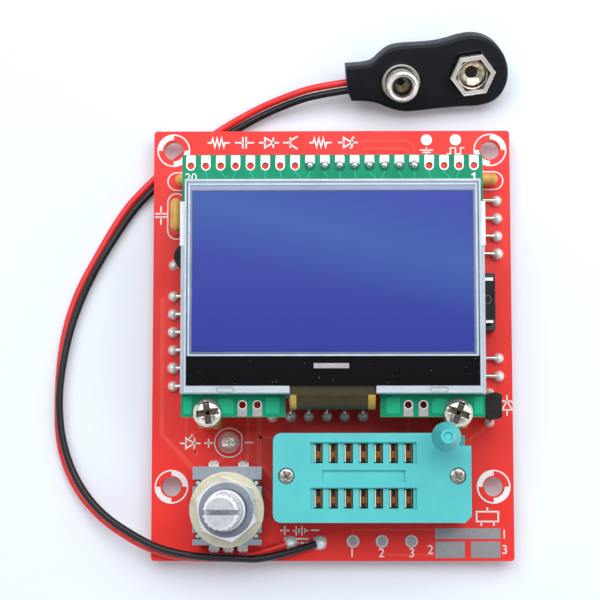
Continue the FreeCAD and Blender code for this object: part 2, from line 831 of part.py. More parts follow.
def make_display_stack():
    """Backlight tray, two glasses, polarizer, black light shield, driver chip and flexible tail."""
    tray_far = lcd_far - size.backlight_far_margin
    tray_near = lcd_near + size.backlight_near_margin
    tray_side = lcd_side - size.backlight_side_margin
    seat = lcd_face + size.backlight_floor
    rim_top = lcd_face + size.backlight_rim_height
    glass_side = tray_side - size.backlight_rim - size.glass_clearance
    glass_far = tray_far - size.backlight_rim - size.glass_clearance
    glass_near = tray_near + size.backlight_near_rim + size.glass_clearance
    front_near = glass_near + size.shield_width
    front_base = seat + size.glass_thickness
    wing_top = lcd_face + size.backlight_wing_height
    tray = fuse(span_box((-tray_side, tray_side), (tray_near, tray_far), (lcd_face, rim_top)),
                span_box((-lcd_side, lcd_side), (tray_near, tray_far - size.backlight_wing_setback),
                         (lcd_face, wing_top)))
    well = span_box((-glass_side - size.glass_clearance, glass_side + size.glass_clearance),
                    (glass_near - size.glass_clearance, glass_far + size.glass_clearance),
                    (seat, rim_top + CUT_MARGIN))
    flex_gap = size.flex_width / 2 + size.glass_clearance
    flex_way = span_box((-flex_gap, flex_gap), (tray_near - CUT_MARGIN, glass_near),
                        (front_base - size.flex_thickness, rim_top + CUT_MARGIN))
    part("lcd_backlight", cut(tray, fuse(well, flex_way)))
    part("lcd_rear_glass", span_box((-glass_side, glass_side), (glass_near, glass_far), (seat, front_base)))
    front_top = front_base + size.glass_thickness
    part("lcd_front_glass",
         span_box((-glass_side, glass_side), (front_near, glass_far), (front_base, front_top)))
    film_side = glass_side - size.polarizer_side_inset
    part("lcd_polarizer",
         span_box((-film_side, film_side),
                  (front_near + size.polarizer_near_inset, glass_far - size.polarizer_far_inset),
                  (front_top, front_top + size.polarizer_thickness)))
    chip_y = front_near - size.chip_edge_margin
    chip = box(0, chip_y, front_base, size.chip_length, size.chip_width, size.chip_thickness)
    part("lcd_driver_chip", chip)
    gap = size.glass_clearance
    shield = span_box((-glass_side, glass_side), (glass_near, front_near - gap),
                      (front_base, front_base + size.shield_thickness))
    chip_room = box(0, chip_y, front_base - CUT_MARGIN, size.chip_length + 2 * gap, size.chip_width + 2 * gap,
                    size.chip_thickness + gap + CUT_MARGIN)
    flex_end = glass_near + size.flex_landing
    flex_room = span_box((-flex_gap, flex_gap), (glass_near - CUT_MARGIN, flex_end + gap),
                         (front_base - CUT_MARGIN, front_base + size.flex_thickness + gap))
    part("lcd_light_shield", cut(shield, group(chip_room, flex_room)))
    make_display_flex(glass_near, front_base)


def make_display_flex(glass_near, landing):
    """The amber tail that leaves the rear glass and curls round to the back of the display board."""
    thick = size.flex_thickness
    curl_y = lcd_near + size.flex_notch_depth - thick
    inner = (landing - lcd_under) / 2
    axis_z = lcd_under + inner
    side = size.flex_width / 2
    across = (1, 0, 0)
    core_length = size.flex_width + 2 * CUT_MARGIN
    sleeve = cut(cylinder(-side, curl_y, axis_z, 2 * (inner + thick), size.flex_width, across),
                 cylinder(-side - CUT_MARGIN, curl_y, axis_z, 2 * inner, core_length, across))
    near_half = span_box((-side, side), (curl_y - 2 * inner, curl_y),
                         (lcd_under - 2 * inner, landing + inner))
    upper = span_box((-side, side), (curl_y, glass_near + size.flex_landing), (landing, landing + thick))
    lower = span_box((-side, side), (curl_y, curl_y + size.flex_tail), (lcd_under - thick, lcd_under))
    part("lcd_flex", fuse(common(sleeve, near_half), upper, lower))


def make_processor():
    """The 28-lead processor in its socket."""
    length = size.ic_pitch * IC_PINS_PER_ROW
    middle_x = board_side - size.ic_right_margin - length / 2
    middle_y = lcd_near + size.ic_from_near + size.ic_row_spacing / 2
    socket_top = board_top + size.ic_socket_height
    body_base = socket_top + size.ic_body_gap
    lead_z = body_base + size.ic_body_height / 2
    bores = []
    tails = []
    leads = []
    for row in (-1, 1):
        y = middle_y + size.ic_row_spacing / 2 * row
        wall_y = middle_y + size.ic_body_width / 2 * row
        for column in range(IC_PINS_PER_ROW):
            x = middle_x + size.ic_pitch * (column - (IC_PINS_PER_ROW - 1) / 2)
            bore_depth = size.ic_lead_depth + CUT_MARGIN
            bores.append(cylinder(x, y, socket_top - bore_depth, size.ic_socket_bore,
                                  bore_depth + CUT_MARGIN))
            tails.append(straight_lead(x, y, board_top))
            outer_y = y + size.ic_lead_thickness / 2 * row
            shoulder = box(x, (wall_y + outer_y) / 2, lead_z, size.ic_lead_shoulder,
                           (outer_y - wall_y) * row, size.ic_lead_thickness)
            blade_foot = socket_top - size.ic_lead_depth
            blade = box(x, y, blade_foot, size.ic_lead_width, size.ic_lead_thickness, lead_z - blade_foot)
            leads.append(fuse(shoulder, blade))
    socket = box(middle_x, middle_y, board_top, length, size.ic_socket_width, size.ic_socket_height)
    window = box(middle_x, middle_y, board_top - CUT_MARGIN, length - 2 * size.ic_socket_end,
                 size.ic_socket_window, size.ic_socket_height + 2 * CUT_MARGIN)
    part("ic_socket", cut(socket, window, *bores))
    part("ic_socket_tails", group(*tails))
    body_length = length - 2 * size.ic_body_end_margin
    chip = box(middle_x, middle_y, body_base, body_length, size.ic_body_width, size.ic_body_height)
    notch = cylinder(middle_x + body_length / 2, middle_y, body_base + size.ic_body_height / 2,
                     size.ic_notch_diameter, size.ic_body_height)
    part("microcontroller", cut(chip, notch))
    part("microcontroller_leads", group(*leads))


def make_resistor(x, y, heading):
    """One resistor that lies above the board, from its joint at x and y along a heading."""
    dx, dy = heading
    height = board_top + size.resistor_cap_diameter / 2 + size.resistor_clearance
    reach = (size.resistor_span - size.resistor_length) / 2
    start_x = x + reach * dx
    start_y = y + reach * dy
    last = size.resistor_length - size.resistor_cap_length
    along = (dx, dy, 0)
    middle = cylinder(start_x, start_y, height, size.resistor_diameter, size.resistor_length, along)
    caps = [cylinder(start_x + shift * dx, start_y + shift * dy, height, size.resistor_cap_diameter,
                     size.resistor_cap_length, along)
            for shift in (as_size(0), last)]
    far_x = x + size.resistor_span * dx
    far_y = y + size.resistor_span * dy
    leads = [bent_lead(x, y, heading, reach, height), bent_lead(far_x, far_y, (-dx, -dy), reach, height)]
    top_fillet(x, y, board_top, size.lead_diameter)
    return fuse(middle, *caps), leads


def make_resistors():
    """Three columns and one row of resistors that reach under the display."""
    left_x = size.left_column_margin - board_side
    right_x = board_side - size.right_column_margin
    row_y = lcd_near + size.bottom_row_from_near
    left_far = lcd_middle + size.left_column_from_middle
    left_near = lcd_near + size.left_column_from_near
    left_pitch = (left_far - left_near) / (LEFT_RESISTORS - 1)
    upper_far = lcd_middle + size.right_upper_from_middle
    lower_far = lcd_near + size.right_lower_from_near
    places = []
    for index in range(LEFT_RESISTORS):
        places.append((left_x, left_far - left_pitch * index, (1, 0)))
    for index in range(RIGHT_UPPER_RESISTORS):
        places.append((right_x, upper_far - size.resistor_pitch * index, (-1, 0)))
    for index in range(RIGHT_LOWER_RESISTORS):
        places.append((right_x, lower_far - size.resistor_pitch * index, (-1, 0)))
    for index in range(BOTTOM_RESISTORS):
        places.append((size.bottom_row_start + size.resistor_pitch * index, row_y, (0, 1)))
    bodies = []
    leads = []
    for x, y, heading in places:
        body, pair = make_resistor(x, y, heading)
        bodies.append(body)
        leads.extend(pair)
    part("resistors", group(*bodies))
    part("resistor_leads", group(*leads))


def make_ceramic(x, y, width, thickness, height, along_y):
    """A dipped ceramic capacitor, a slab with round edges and ends on two leads."""
    base = board_top + size.ceramic_lead_height
    low = base + thickness / 2
    high = base + height - thickness / 2
    straight = width - thickness
    dx, dy = (0, 1) if along_y else (1, 0)
    long_x, long_y = (thickness, straight) if along_y else (straight, thickness)
    lumps = [box(x, y, low, long_x, long_y, height - thickness)]
    for level in (low, high):
        lumps.append(cylinder(x - straight / 2 * dx, y - straight / 2 * dy, level, thickness, straight,
                              (dx, dy, 0)))
    leads = []
    for side in (-0.5, 0.5):
        end_x = x + straight * side * dx
        end_y = y + straight * side * dy
        lumps.append(cylinder(end_x, end_y, low, thickness, height - thickness))
        for level in (low, high):
            lumps.append(ball(end_x, end_y, level, thickness))
        step = size.ceramic_lead_pitch * side
        leads.append(straight_lead(x + step * dx, y + step * dy, base))
    return fuse(*lumps), leads


def make_capacitors():
    """Ceramic capacitors at the board's sides and crystal, and two small electrolytic cans."""
    big = (size.ceramic_width, size.ceramic_thickness, size.ceramic_height)
    small = (size.ceramic_small_width, size.ceramic_small_thickness, size.ceramic_small_height)
    small_y = lcd_middle + size.small_ceramic_from_middle
    spots = [(size.big_ceramic_margin - board_side, lcd_middle + size.big_ceramic_from_middle, big, True),
             (size.left_ceramic_margin - board_side, small_y, small, False),
             (board_side - size.right_ceramic_margin, small_y, small, False)]
    for side in (-0.5, 0.5):
        spots.append((size.crystal_offset + size.crystal_capacitor_step * side,
                      lcd_middle + size.crystal_from_middle + size.crystal_capacitor_gap, small, False))
    bodies = []
    leads = []
    for x, y, shape, along_y in spots:
        body, pair = make_ceramic(x, y, *shape, along_y)
        bodies.append(body)
        leads.extend(pair)
    part("ceramic_capacitors", group(*bodies))
    part("ceramic_capacitor_leads", group(*leads))
    cans = []
    can_leads = []
    base = board_top + size.part_seat_gap
    for step in (0, 1):
        x = size.electrolytic_offset + size.electrolytic_step * step
        y = board_far - size.electrolytic_far - size.electrolytic_step_far * step
        cans.append(cylinder(x, y, base, size.electrolytic_diameter, size.electrolytic_height))
        for side in (-0.5, 0.5):
            can_leads.append(straight_lead(x + size.electrolytic_lead_pitch * side, y, base))
    part("electrolytic_capacitors", group(*cans))
    part("electrolytic_leads", group(*can_leads))


def make_crystal():
    """The low metal can of the crystal."""
    x = size.crystal_offset
    y = lcd_middle + size.crystal_from_middle
    base = board_top + size.part_seat_gap
    straight = size.crystal_length - size.crystal_width
    can = [box(x, y, base, straight, size.crystal_width, size.crystal_height)]
    leads = []
    for side in (-0.5, 0.5):
        can.append(cylinder(x + straight * side, y, base, size.crystal_width, size.crystal_height))
        leads.append(straight_lead(x + size.crystal_lead_pitch * side, y, base))
    part("crystal", group(fuse(*can), *leads))


def make_transistor(x, y):
    """A small D-shaped transistor, flat to the right, whose outer leads are cranked apart along Y."""
    base = board_top + size.transistor_lift
    round_body = cylinder(x, y, base, size.transistor_diameter, size.transistor_height)
    wall = size.transistor_diameter
    shaving = span_box((x + size.transistor_flat, x + wall), (y - wall, y + wall),
                       (base - CUT_MARGIN, base + size.transistor_height + CUT_MARGIN))
    wide = size.transistor_lead_width
    leads = []
    for step in (-1, 0, 1):
        hole_y = y + size.transistor_hole_pitch * step
        lead_y = y + size.transistor_lead_pitch * step
        through_board(x, hole_y, wide, "component")
        crank_z = board_top + size.transistor_crank_height
        pieces = [box(x, hole_y, size.board_lift, wide, wide, crank_z - size.board_lift),
                  box(x, lead_y, crank_z, wide, wide, base - crank_z)]
        if step:
            width = (hole_y - lead_y) * step + wide
            pieces.append(box(x, (hole_y + lead_y) / 2, crank_z - wide / 2, wide, width, wide))
            top_fillet(x, hole_y, board_top, wide * SQUARE_CORNER)
        leads.append(fuse(*pieces))
    return cut(round_body, shaving), leads


def make_transistors():
    """The voltage reference at the right edge and three small transistors."""
    inner_x = size.inner_transistor_offset
    inner_y = lcd_middle + size.inner_transistor_from_middle
    spots = [(board_side - size.reference_margin, lcd_near + size.reference_from_near),
             (size.left_transistor_margin - board_side, lcd_middle + size.left_transistor_from_middle),
             (inner_x, inner_y),
             (inner_x + size.inner_transistor_step, inner_y - size.inner_transistor_step_far)]
    bodies = []
    leads = []
    for x, y in spots:
        body, triple = make_transistor(x, y)
        bodies.append(body)
        leads.extend(triple)
    part("small_transistors", group(*bodies))
    part("transistor_leads", group(*leads))


def encoder_axis():
    """Where the encoder's shaft stands."""
    zif_left = zif_middle_x - size.zif_length / 2
    x = zif_left - size.encoder_zif_gap - size.encoder_width / 2
    return x, size.encoder_near_margin - board_far


def make_led():
    """The clear round indicator lamp above the encoder."""
    x = encoder_axis()[0]
    y = zif_far - size.led_setback
    base = board_top + size.led_lift
    shoulder = size.led_height - size.led_diameter / 2
    part("led_lens", fuse(cylinder(x, y, base, size.led_flange_diameter, size.led_flange_height),
                          cylinder(x, y, base, size.led_diameter, shoulder),
                          half_ball(x, y, base + shoulder, size.led_diameter)))
    leads = [straight_lead(x + size.led_lead_pitch * side, y, base) for side in (-0.5, 0.5)]
    part("led_leads", group(*leads))


def make_encoder():
    """Fixed pieces of the encoder: base, die-cast frame, bracket, washer, nut, terminals and dome."""
    x, y = encoder_axis()
    middle_y = y + size.encoder_body_offset
    body_width = size.encoder_width - 2 * size.encoder_sheet
    base_top = board_top + size.encoder_base_height
    frame_top = base_top + size.encoder_frame_height
    sheet_top = frame_top + size.encoder_sheet
    rotor_room = size.rotor_diameter + 2 * size.rotor_gap
    rotor_base = board_top + size.dome_floor + size.dome_height
    dome_room = size.dome_diameter + 2 * size.running_clearance
    base = box(x, middle_y, board_top, body_width, size.encoder_length, size.encoder_base_height)
    cavity = fuse(cylinder(x, y, rotor_base, rotor_room, size.encoder_base_height),
                  cylinder(x, y, board_top + size.dome_floor, dome_room, size.encoder_base_height))
    part("encoder_base", cut(base, cavity))
    part("encoder_switch_dome", cone(x, y, board_top + size.dome_floor, size.dome_diameter,
                                     size.dome_top_diameter, size.dome_height))

    plate = box(x, middle_y, base_top, body_width, size.encoder_length, size.encoder_frame_height)
    neck_height = size.encoder_sheet + size.bushing_height
    neck = cylinder(x, y, frame_top, size.bushing_diameter, neck_height)
    shaft_bore = size.shaft_diameter + 2 * size.running_clearance
    bore = cylinder(x, y, base_top - CUT_MARGIN, shaft_bore,
                    size.encoder_frame_height + neck_height + 2 * CUT_MARGIN)
    post_x = body_width / 2 - size.encoder_post_inset
    notch_height = size.encoder_sheet + 2 * CUT_MARGIN
    posts = []
    notches = []
    for side_x in (-1, 1):
        for side_y in (-0.5, 0.5):
            post_y = y + size.encoder_post_spacing * side_y
            posts.append(cylinder(x + post_x * side_x, post_y, frame_top, size.encoder_post_diameter,
                                  size.encoder_sheet))
            notches.append(box(x + size.encoder_width / 2 * side_x, post_y, frame_top - CUT_MARGIN,
                               2 * size.encoder_notch_depth, size.encoder_notch_width, notch_height))
    part("encoder_frame", cut(fuse(plate, neck, *posts), bore))

    sheet = box(x, middle_y, frame_top, size.encoder_width, size.encoder_length, size.encoder_sheet)
    neck_hole = cylinder(x, y, frame_top - CUT_MARGIN, size.bushing_diameter + 2 * size.bore_clearance,
                         size.encoder_sheet + 2 * CUT_MARGIN)
    legs = []
    for side in (-1, 1):
        leg_x = x + (size.encoder_width - size.encoder_sheet) / 2 * side
        legs.append(box(leg_x, y, board_top, size.encoder_sheet, size.encoder_leg_width,
                        frame_top - board_top))
        legs.append(box(leg_x, y, size.board_lift, size.encoder_sheet, size.encoder_tang_width,
                        size.board_thickness))
        blade_through_board(leg_x, y, size.encoder_sheet, size.encoder_tang_width, "encoder")
    part("encoder_bracket", fuse(cut(sheet, neck_hole, *notches), *legs))

    washer = cylinder(x, y, sheet_top, size.washer_diameter, size.washer_thickness)
    nut_base = sheet_top + size.washer_thickness
    thread_bore = size.bushing_diameter + 2 * size.bore_clearance
    washer_bore = cylinder(x, y, sheet_top - CUT_MARGIN, thread_bore, size.washer_thickness + 2 * CUT_MARGIN)
    part("encoder_washer", cut(washer, washer_bore))
    nut = hexagon(x, y, nut_base, size.nut_flats, size.nut_height, Rotation(Vector(0, 0, 1), NUT_TURN))
    nut_corner = size.nut_flats * HEXAGON_CORNER
    bevel = cone(x, y, nut_base, nut_corner + size.nut_chamfer, nut_corner - size.nut_chamfer * 2,
                 size.nut_height)
    nut_bore = cylinder(x, y, nut_base - CUT_MARGIN, thread_bore, size.nut_height + 2 * CUT_MARGIN)
    part("encoder_nut", cut(common(nut, bevel), nut_bore))
    make_encoder_terminals(x, middle_y)
    make_encoder_moving(x, y, rotor_base, base_top, sheet_top)


def make_encoder_terminals(x, middle_y):
    """Three signal terminals at the near side of the encoder and two of its switch at the far side."""
    rows = [(-1, size.terminal_reach, [size.terminal_pitch * step for step in (-1, 0, 1)]),
            (1, size.switch_terminal_reach, [size.switch_terminal_pitch * step for step in (-0.5, 0.5)])]
    terminals = []
    level = board_top + size.terminal_height
    for side, reach, shifts in rows:
        wall_y = middle_y + size.encoder_length / 2 * side
        end_y = wall_y + reach * side
        tang_y = end_y - size.terminal_thickness / 2 * side
        for shift in shifts:
            shelf = box(x + shift, (wall_y + end_y) / 2, level, size.terminal_width, reach,
                        size.terminal_thickness)
            tang = box(x + shift, tang_y, size.board_lift, size.terminal_tang_width, size.terminal_thickness,
                       level - size.board_lift)
            terminals.append(fuse(shelf, tang))
            through_board(x + shift, tang_y, size.terminal_tang_width, "encoder")
    part("encoder_terminals", group(*terminals))


def make_encoder_moving(x, y, rotor_base, base_top, sheet_top):
    """The rotor, and the shaft that turns it and slides through its D-shaped bore."""
    tail = size.shaft_tail_diameter
    bore = tail + 2 * size.running_clearance
    rotor_foot = rotor_base + size.rotor_gap
    rotor = cylinder(x, y, rotor_foot, size.rotor_diameter, size.rotor_height)
    round_bore = cylinder(x, y, rotor_foot - CUT_MARGIN, bore, size.rotor_height + 2 * CUT_MARGIN)
    flat_room = size.shaft_tail_flat + size.running_clearance
    keep = span_box((x - tail, x + flat_room), (y - tail, y + tail),
                    (rotor_foot - CUT_MARGIN, rotor_foot + size.rotor_height + CUT_MARGIN))
    part("encoder_rotor", cut(rotor, common(round_bore, keep)))

    step_z = base_top + size.push_travel + size.shaft_step_gap
    top_z = sheet_top + size.shaft_length
    radius = size.shaft_diameter / 2
    chamfer = size.shaft_chamfer
    mouth_z = sheet_top + size.bushing_height
    relief = radius - size.shaft_relief_depth
    relief_foot = mouth_z - size.shaft_relief_below
    relief_top = mouth_z + size.shaft_relief_above
    crest = size.knurl_diameter / 2
    knurl_foot = top_z - size.knurl_length
    profile = [(0, rotor_base), (tail / 2, rotor_base), (tail / 2, step_z), (radius, step_z),
               (radius, relief_foot), (relief, relief_foot), (relief, relief_top), (radius, relief_top),
               (radius, knurl_foot), (crest, knurl_foot), (crest, top_z - chamfer),
               (crest - chamfer, top_z), (0, top_z)]
    body = turned(profile, x, y, 0)
    slot = sketch_on(body, "XY_Plane", top_z)
    half_slot = size.shaft_slot_width / 2
    polygon(slot, [(-radius, -half_slot), (radius, -half_slot), (radius, half_slot), (-radius, half_slot)])
    pocket(body, slot, size.shaft_slot_depth)
    groove = sketch_on(body, "XY_Plane", top_z)
    mouth = size.knurl_width / 2 * (size.knurl_depth + CUT_MARGIN) / size.knurl_depth
    outside = crest + CUT_MARGIN
    polygon(groove, [(crest - size.knurl_depth, 0), (outside, -mouth), (outside, mouth)])
    cut_one = pocket(body, groove, size.knurl_length)
    ring = body.newObject("PartDesign::PolarPattern", "knurl")
    ring.Originals = [cut_one]
    ring.Axis = (groove, ["N_Axis"])
    ring.Angle = 360
    ring.Occurrences = KNURL_COUNT
    body.Tip = ring
    flat = span_box((x + size.shaft_tail_flat, x + tail), (y - tail, y + tail),
                    (rotor_base - CUT_MARGIN, step_z))
    part("encoder_shaft", cut(body, flat))


def zif_columns():
    """The places of the contacts, two rows of them."""
    for row in (-0.5, 0.5):
        for column in range(ZIF_COLUMNS):
            x = zif_row_x + size.zif_contact_pitch * (column - (ZIF_COLUMNS - 1) / 2)
            yield x, zif_row_middle + size.zif_row_spacing * row


def zif_screw_places():
    """The two screws near the ends of the test socket."""
    reach = size.zif_length / 2 - size.zif_screw_end_margin
    return [(zif_middle_x + reach * side, zif_row_middle) for side in (-1, 1)]


def zif_screw_seat():
    """The level on which the heads of the cover screws rest."""
    top = board_top + size.zif_base_height + size.zif_cover_height
    return top - size.zif_screw_recess - size.zif_screw_head_height


def make_zif_base():
    """Lower housing: contact slots, lever trough, cam pocket and the low corner under the arm."""
    top = board_top + size.zif_base_height
    length = size.zif_length - 2 * size.zif_base_inset
    width = size.zif_width - 2 * size.zif_base_inset
    block = box(zif_middle_x, zif_middle_y, board_top, length, width, size.zif_base_height)
    slots = [box(x, y, board_top - CUT_MARGIN, size.zif_slot_width, size.zif_slot_length,
                 size.zif_base_height + 2 * CUT_MARGIN) for x, y in zif_columns()]
    bore = size.lever_shaft_diameter + 2 * size.running_clearance
    shaft_end = lever_arm_y - size.lever_shaft_length - size.lever_clearance
    trough_length = zif_far - shaft_end + CUT_MARGIN
    trough = fuse(cylinder(pivot_x, shaft_end, pivot_z, bore, trough_length, (0, 1, 0)),
                  span_box((pivot_x - bore / 2, pivot_x + bore / 2), (shaft_end, shaft_end + trough_length),
                           (pivot_z, top + CUT_MARGIN)))
    notch_near = zif_far - size.lever_notch_width
    notch_floor = pivot_z - size.lever_shaft_diameter / 2 - size.lever_clearance
    notch_left = pivot_x - size.lever_shaft_diameter / 2 - size.lever_clearance
    notch = span_box((notch_left, pivot_x + size.zif_length), (notch_near, zif_far + CUT_MARGIN),
                     (notch_floor, top + CUT_MARGIN))
    cam_sweep = size.cam_diameter + 2 * (size.zif_travel / CAM_SPREAD + size.cam_clearance)
    cam_room = size.cam_width + 2 * size.cam_clearance
    cam_pocket = fuse(cylinder(pivot_x, cam_y - cam_room / 2, pivot_z, cam_sweep, cam_room, (0, 1, 0)),
                      box(pivot_x, cam_y, pivot_z, cam_sweep, cam_room, size.zif_base_height))
    thread = size.zif_screw_diameter + 2 * size.bore_clearance
    bore_foot = zif_screw_seat() - size.zif_screw_length - size.lever_clearance
    bores = [cylinder(x, y, bore_foot, thread, top + CUT_MARGIN - bore_foot) for x, y in zif_screw_places()]
    part("zif_base", cut(block, fuse(trough, notch, cam_pocket), *slots, *bores))


def slider_limits():
    """Edges of the slider: its plate and the tongue round the cam."""
    start_x = zif_middle_x - size.zif_length / 2 + size.zif_slider_end_margin
    end_x = (zif_row_x + size.zif_contact_pitch * (ZIF_COLUMNS - 1) / 2
             + size.zif_slot_width / 2 + size.zif_slider_run)
    reach = size.zif_row_spacing / 2 + size.zif_slot_length / 2 + size.zif_slider_web
    near_y = zif_row_middle - reach
    far_y = zif_row_middle + reach
    tongue_side = size.cam_width / 2 + size.cam_clearance + size.zif_tongue_rail
    return start_x, end_x, near_y, far_y, tongue_side


def make_zif_slider():
    """The sliding comb between base and cover, with a window for the lever's cam."""
    start_x, end_x, near_y, far_y, tongue_side = slider_limits()
    base = board_top + size.zif_base_height + size.zif_slider_gap
    top = base + size.zif_slider_thickness
    cam_shift = size.zif_travel / 2
    window_side = size.cam_diameter / 2 + size.cam_clearance
    window_x = pivot_x - cam_shift
    tongue_end = window_x + window_side + size.zif_tongue_rail
    plate = span_box((start_x, end_x), (near_y, far_y), (base, top))
    tongue = span_box((end_x - CUT_MARGIN, tongue_end), (cam_y - tongue_side, cam_y + tongue_side),
                      (base, top))
    cut_range = (base - CUT_MARGIN, top + CUT_MARGIN)
    cam_room = size.cam_width / 2 + size.cam_clearance
    window = span_box((window_x - window_side, window_x + window_side),
                      (cam_y - cam_room, cam_y + cam_room), cut_range)
    leaf_side = size.zif_leaf_gap / 2 + size.zif_leaf_thickness + size.zif_slot_clearance
    half_slot = size.zif_slot_length / 2
    combs = [span_box((x - leaf_side - size.zif_travel, x + leaf_side), (y - half_slot, y + half_slot),
                      cut_range) for x, y in zif_columns()]
    part("zif_slider", cut(fuse(plate, tongue), window, *combs))


def sink(body, top, y, length, width, depth):
    """A shallow rectangular recess in the top of the cover, in line with the contacts."""
    sketch = sketch_on(body, "XY_Plane", top)
    left = zif_row_x - length / 2
    right = zif_row_x + length / 2
    near = y - width / 2
    far = y + width / 2
    polygon(sketch, [(left, near), (right, near), (right, far), (left, far)])
    pocket(body, sketch, depth)


def make_zif_cover():
    """Upper housing: rounded block, slider chamber, contact slots in two troughs and the lever notch."""
    base = board_top + size.zif_base_height
    top = base + size.zif_cover_height
    left = zif_middle_x - size.zif_length / 2
    right = zif_middle_x + size.zif_length / 2
    bevel = size.zif_chamfer
    body = doc.addObject("PartDesign::Body", "cover_blank")
    outline = sketch_on(body, "XY_Plane", base)
    polygon(outline, [(left, zif_near), (right - bevel, zif_near), (right, zif_near + bevel),
                      (right, zif_far), (left, zif_far)])
    block = pad(body, outline, size.zif_cover_height)
    edge_x = left.value + CUT_MARGIN
    round_upright_edges(body, block, size.zif_corner, lambda spot: spot.x < edge_x)
    for row in (-0.5, 0.5):
        row_y = zif_row_middle + size.zif_row_spacing * row
        sink(body, top, row_y, size.zif_trough_length, size.zif_trough_width, size.zif_trough_depth)
    sink(body, top, zif_row_middle, size.zif_panel_length, size.zif_panel_width, size.zif_panel_depth)

    slots = [box(x, y, base, size.zif_slot_width, size.zif_slot_length, size.zif_cover_height + CUT_MARGIN)
             for x, y in zif_columns()]
    start_x, end_x, near_y, far_y, tongue_side = slider_limits()
    gap = size.zif_slider_side_gap
    roof = base + size.zif_slider_thickness + 2 * size.zif_slider_gap
    window_side = size.cam_diameter / 2 + size.cam_clearance
    tongue_end = pivot_x + size.zif_travel / 2 + window_side + size.zif_tongue_rail
    chamber = fuse(span_box((start_x - gap, end_x + size.zif_travel + gap), (near_y - gap, far_y + gap),
                            (base - CUT_MARGIN, roof)),
                   span_box((end_x, tongue_end + gap), (cam_y - tongue_side - gap, cam_y + tongue_side + gap),
                            (base - CUT_MARGIN, roof)),
                   *slots)
    notch_left = pivot_x - size.lever_shaft_diameter / 2 - size.lever_clearance
    notch = span_box((notch_left, right + CUT_MARGIN),
                     (zif_far - size.lever_notch_width, zif_far + CUT_MARGIN),
                     (base - CUT_MARGIN, top + CUT_MARGIN))
    holes = []
    for x, y in zif_screw_places():
        shank = size.zif_screw_diameter + 2 * size.running_clearance
        head = size.zif_screw_head_diameter + 2 * size.running_clearance
        holes.append(fuse(cylinder(x, y, base - CUT_MARGIN, shank, size.zif_cover_height),
                          cylinder(x, y, zif_screw_seat(), head, size.zif_cover_height)))
    part("zif_cover", cut(body, fuse(chamber, notch), *holes))


def make_zif_screws():
    """The two slotted screws that hold the cover on the base."""
    screws = []
    seat = zif_screw_seat()
    for x, y in zif_screw_places():
        head = cylinder(x, y, seat, size.zif_screw_head_diameter, size.zif_screw_head_height)
        shank = cylinder(x, y, seat - size.zif_screw_length, size.zif_screw_diameter, size.zif_screw_length)
        slot = box(x, y, seat + size.zif_screw_head_height / 2, size.zif_screw_head_diameter * 2,
                   size.zif_screw_slot, size.zif_screw_head_height)
        screws.append(cut(fuse(head, shank), slot))
    part("zif_cover_screws", group(*screws))


def make_zif_contacts():
    """Fourteen forked spring contacts, each with its tail through the board."""
    foot = board_top + size.zif_contact_seat
    tip = board_top + size.zif_base_height + size.zif_cover_height - size.zif_contact_depth
    leaf_shift = (size.zif_leaf_gap + size.zif_leaf_thickness) / 2
    foot_width = size.zif_leaf_gap + 2 * size.zif_leaf_thickness
    contacts = []
    for x, y in zif_columns():
        leaves = [box(x + leaf_shift * side, y, foot, size.zif_leaf_thickness, size.zif_leaf_width,
                      tip - foot) for side in (-1, 1)]
        bridge = box(x, y, foot, foot_width, size.zif_leaf_width, size.zif_contact_foot)
        tail = straight_lead(x, y, foot, "zif")
        contacts.append(fuse(bridge, tail, *leaves))
    part("zif_contacts", group(*contacts))


def make_zif_lever():
    """The lever with its cross shaft and cam, upright as when the socket is open, and its knob."""
    shaft_end = lever_arm_y - size.lever_shaft_length
    arm_far = lever_arm_y + size.lever_arm_thickness / 2
    shaft = cylinder(pivot_x, shaft_end, pivot_z, size.lever_shaft_diameter, arm_far - shaft_end, (0, 1, 0))
    arm = box(pivot_x, lever_arm_y, pivot_z, size.lever_arm_width, size.lever_arm_thickness,
              size.lever_arm_length)
    knob_base = pivot_z + size.lever_arm_length
    tang = box(pivot_x, lever_arm_y, knob_base, size.lever_tang_width, size.lever_tang_width,
               size.lever_tang_length)
    cam_shift = size.zif_travel / 2
    cam = cylinder(pivot_x - cam_shift, cam_y - size.cam_width / 2, pivot_z + cam_shift, size.cam_diameter,
                   size.cam_width, (0, 1, 0))
    part("zif_lever", fuse(shaft, arm, tang, cam))

    tall = size.knob_height
    dent_z = tall - size.knob_dent_depth
    profile = [(0, 0), (size.knob_foot_diameter / 2, 0),
               (size.knob_skirt_diameter / 2, size.knob_skirt_height),
               (size.knob_diameter / 2, size.knob_bulge_height),
               (size.knob_shoulder_diameter / 2, size.knob_shoulder_height),
               (size.knob_top_diameter / 2, tall), (size.knob_dent_diameter / 2, tall),
               (size.knob_dent_floor / 2, dent_z), (0, dent_z)]
    knob = turned(profile, pivot_x, lever_arm_y, knob_base)
    socket_width = size.lever_tang_width + 2 * size.bore_clearance
    socket = box(pivot_x, lever_arm_y, knob_base - CUT_MARGIN, socket_width, socket_width,
                 size.lever_tang_length + CUT_MARGIN)
    part("zif_knob", cut(knob, socket))


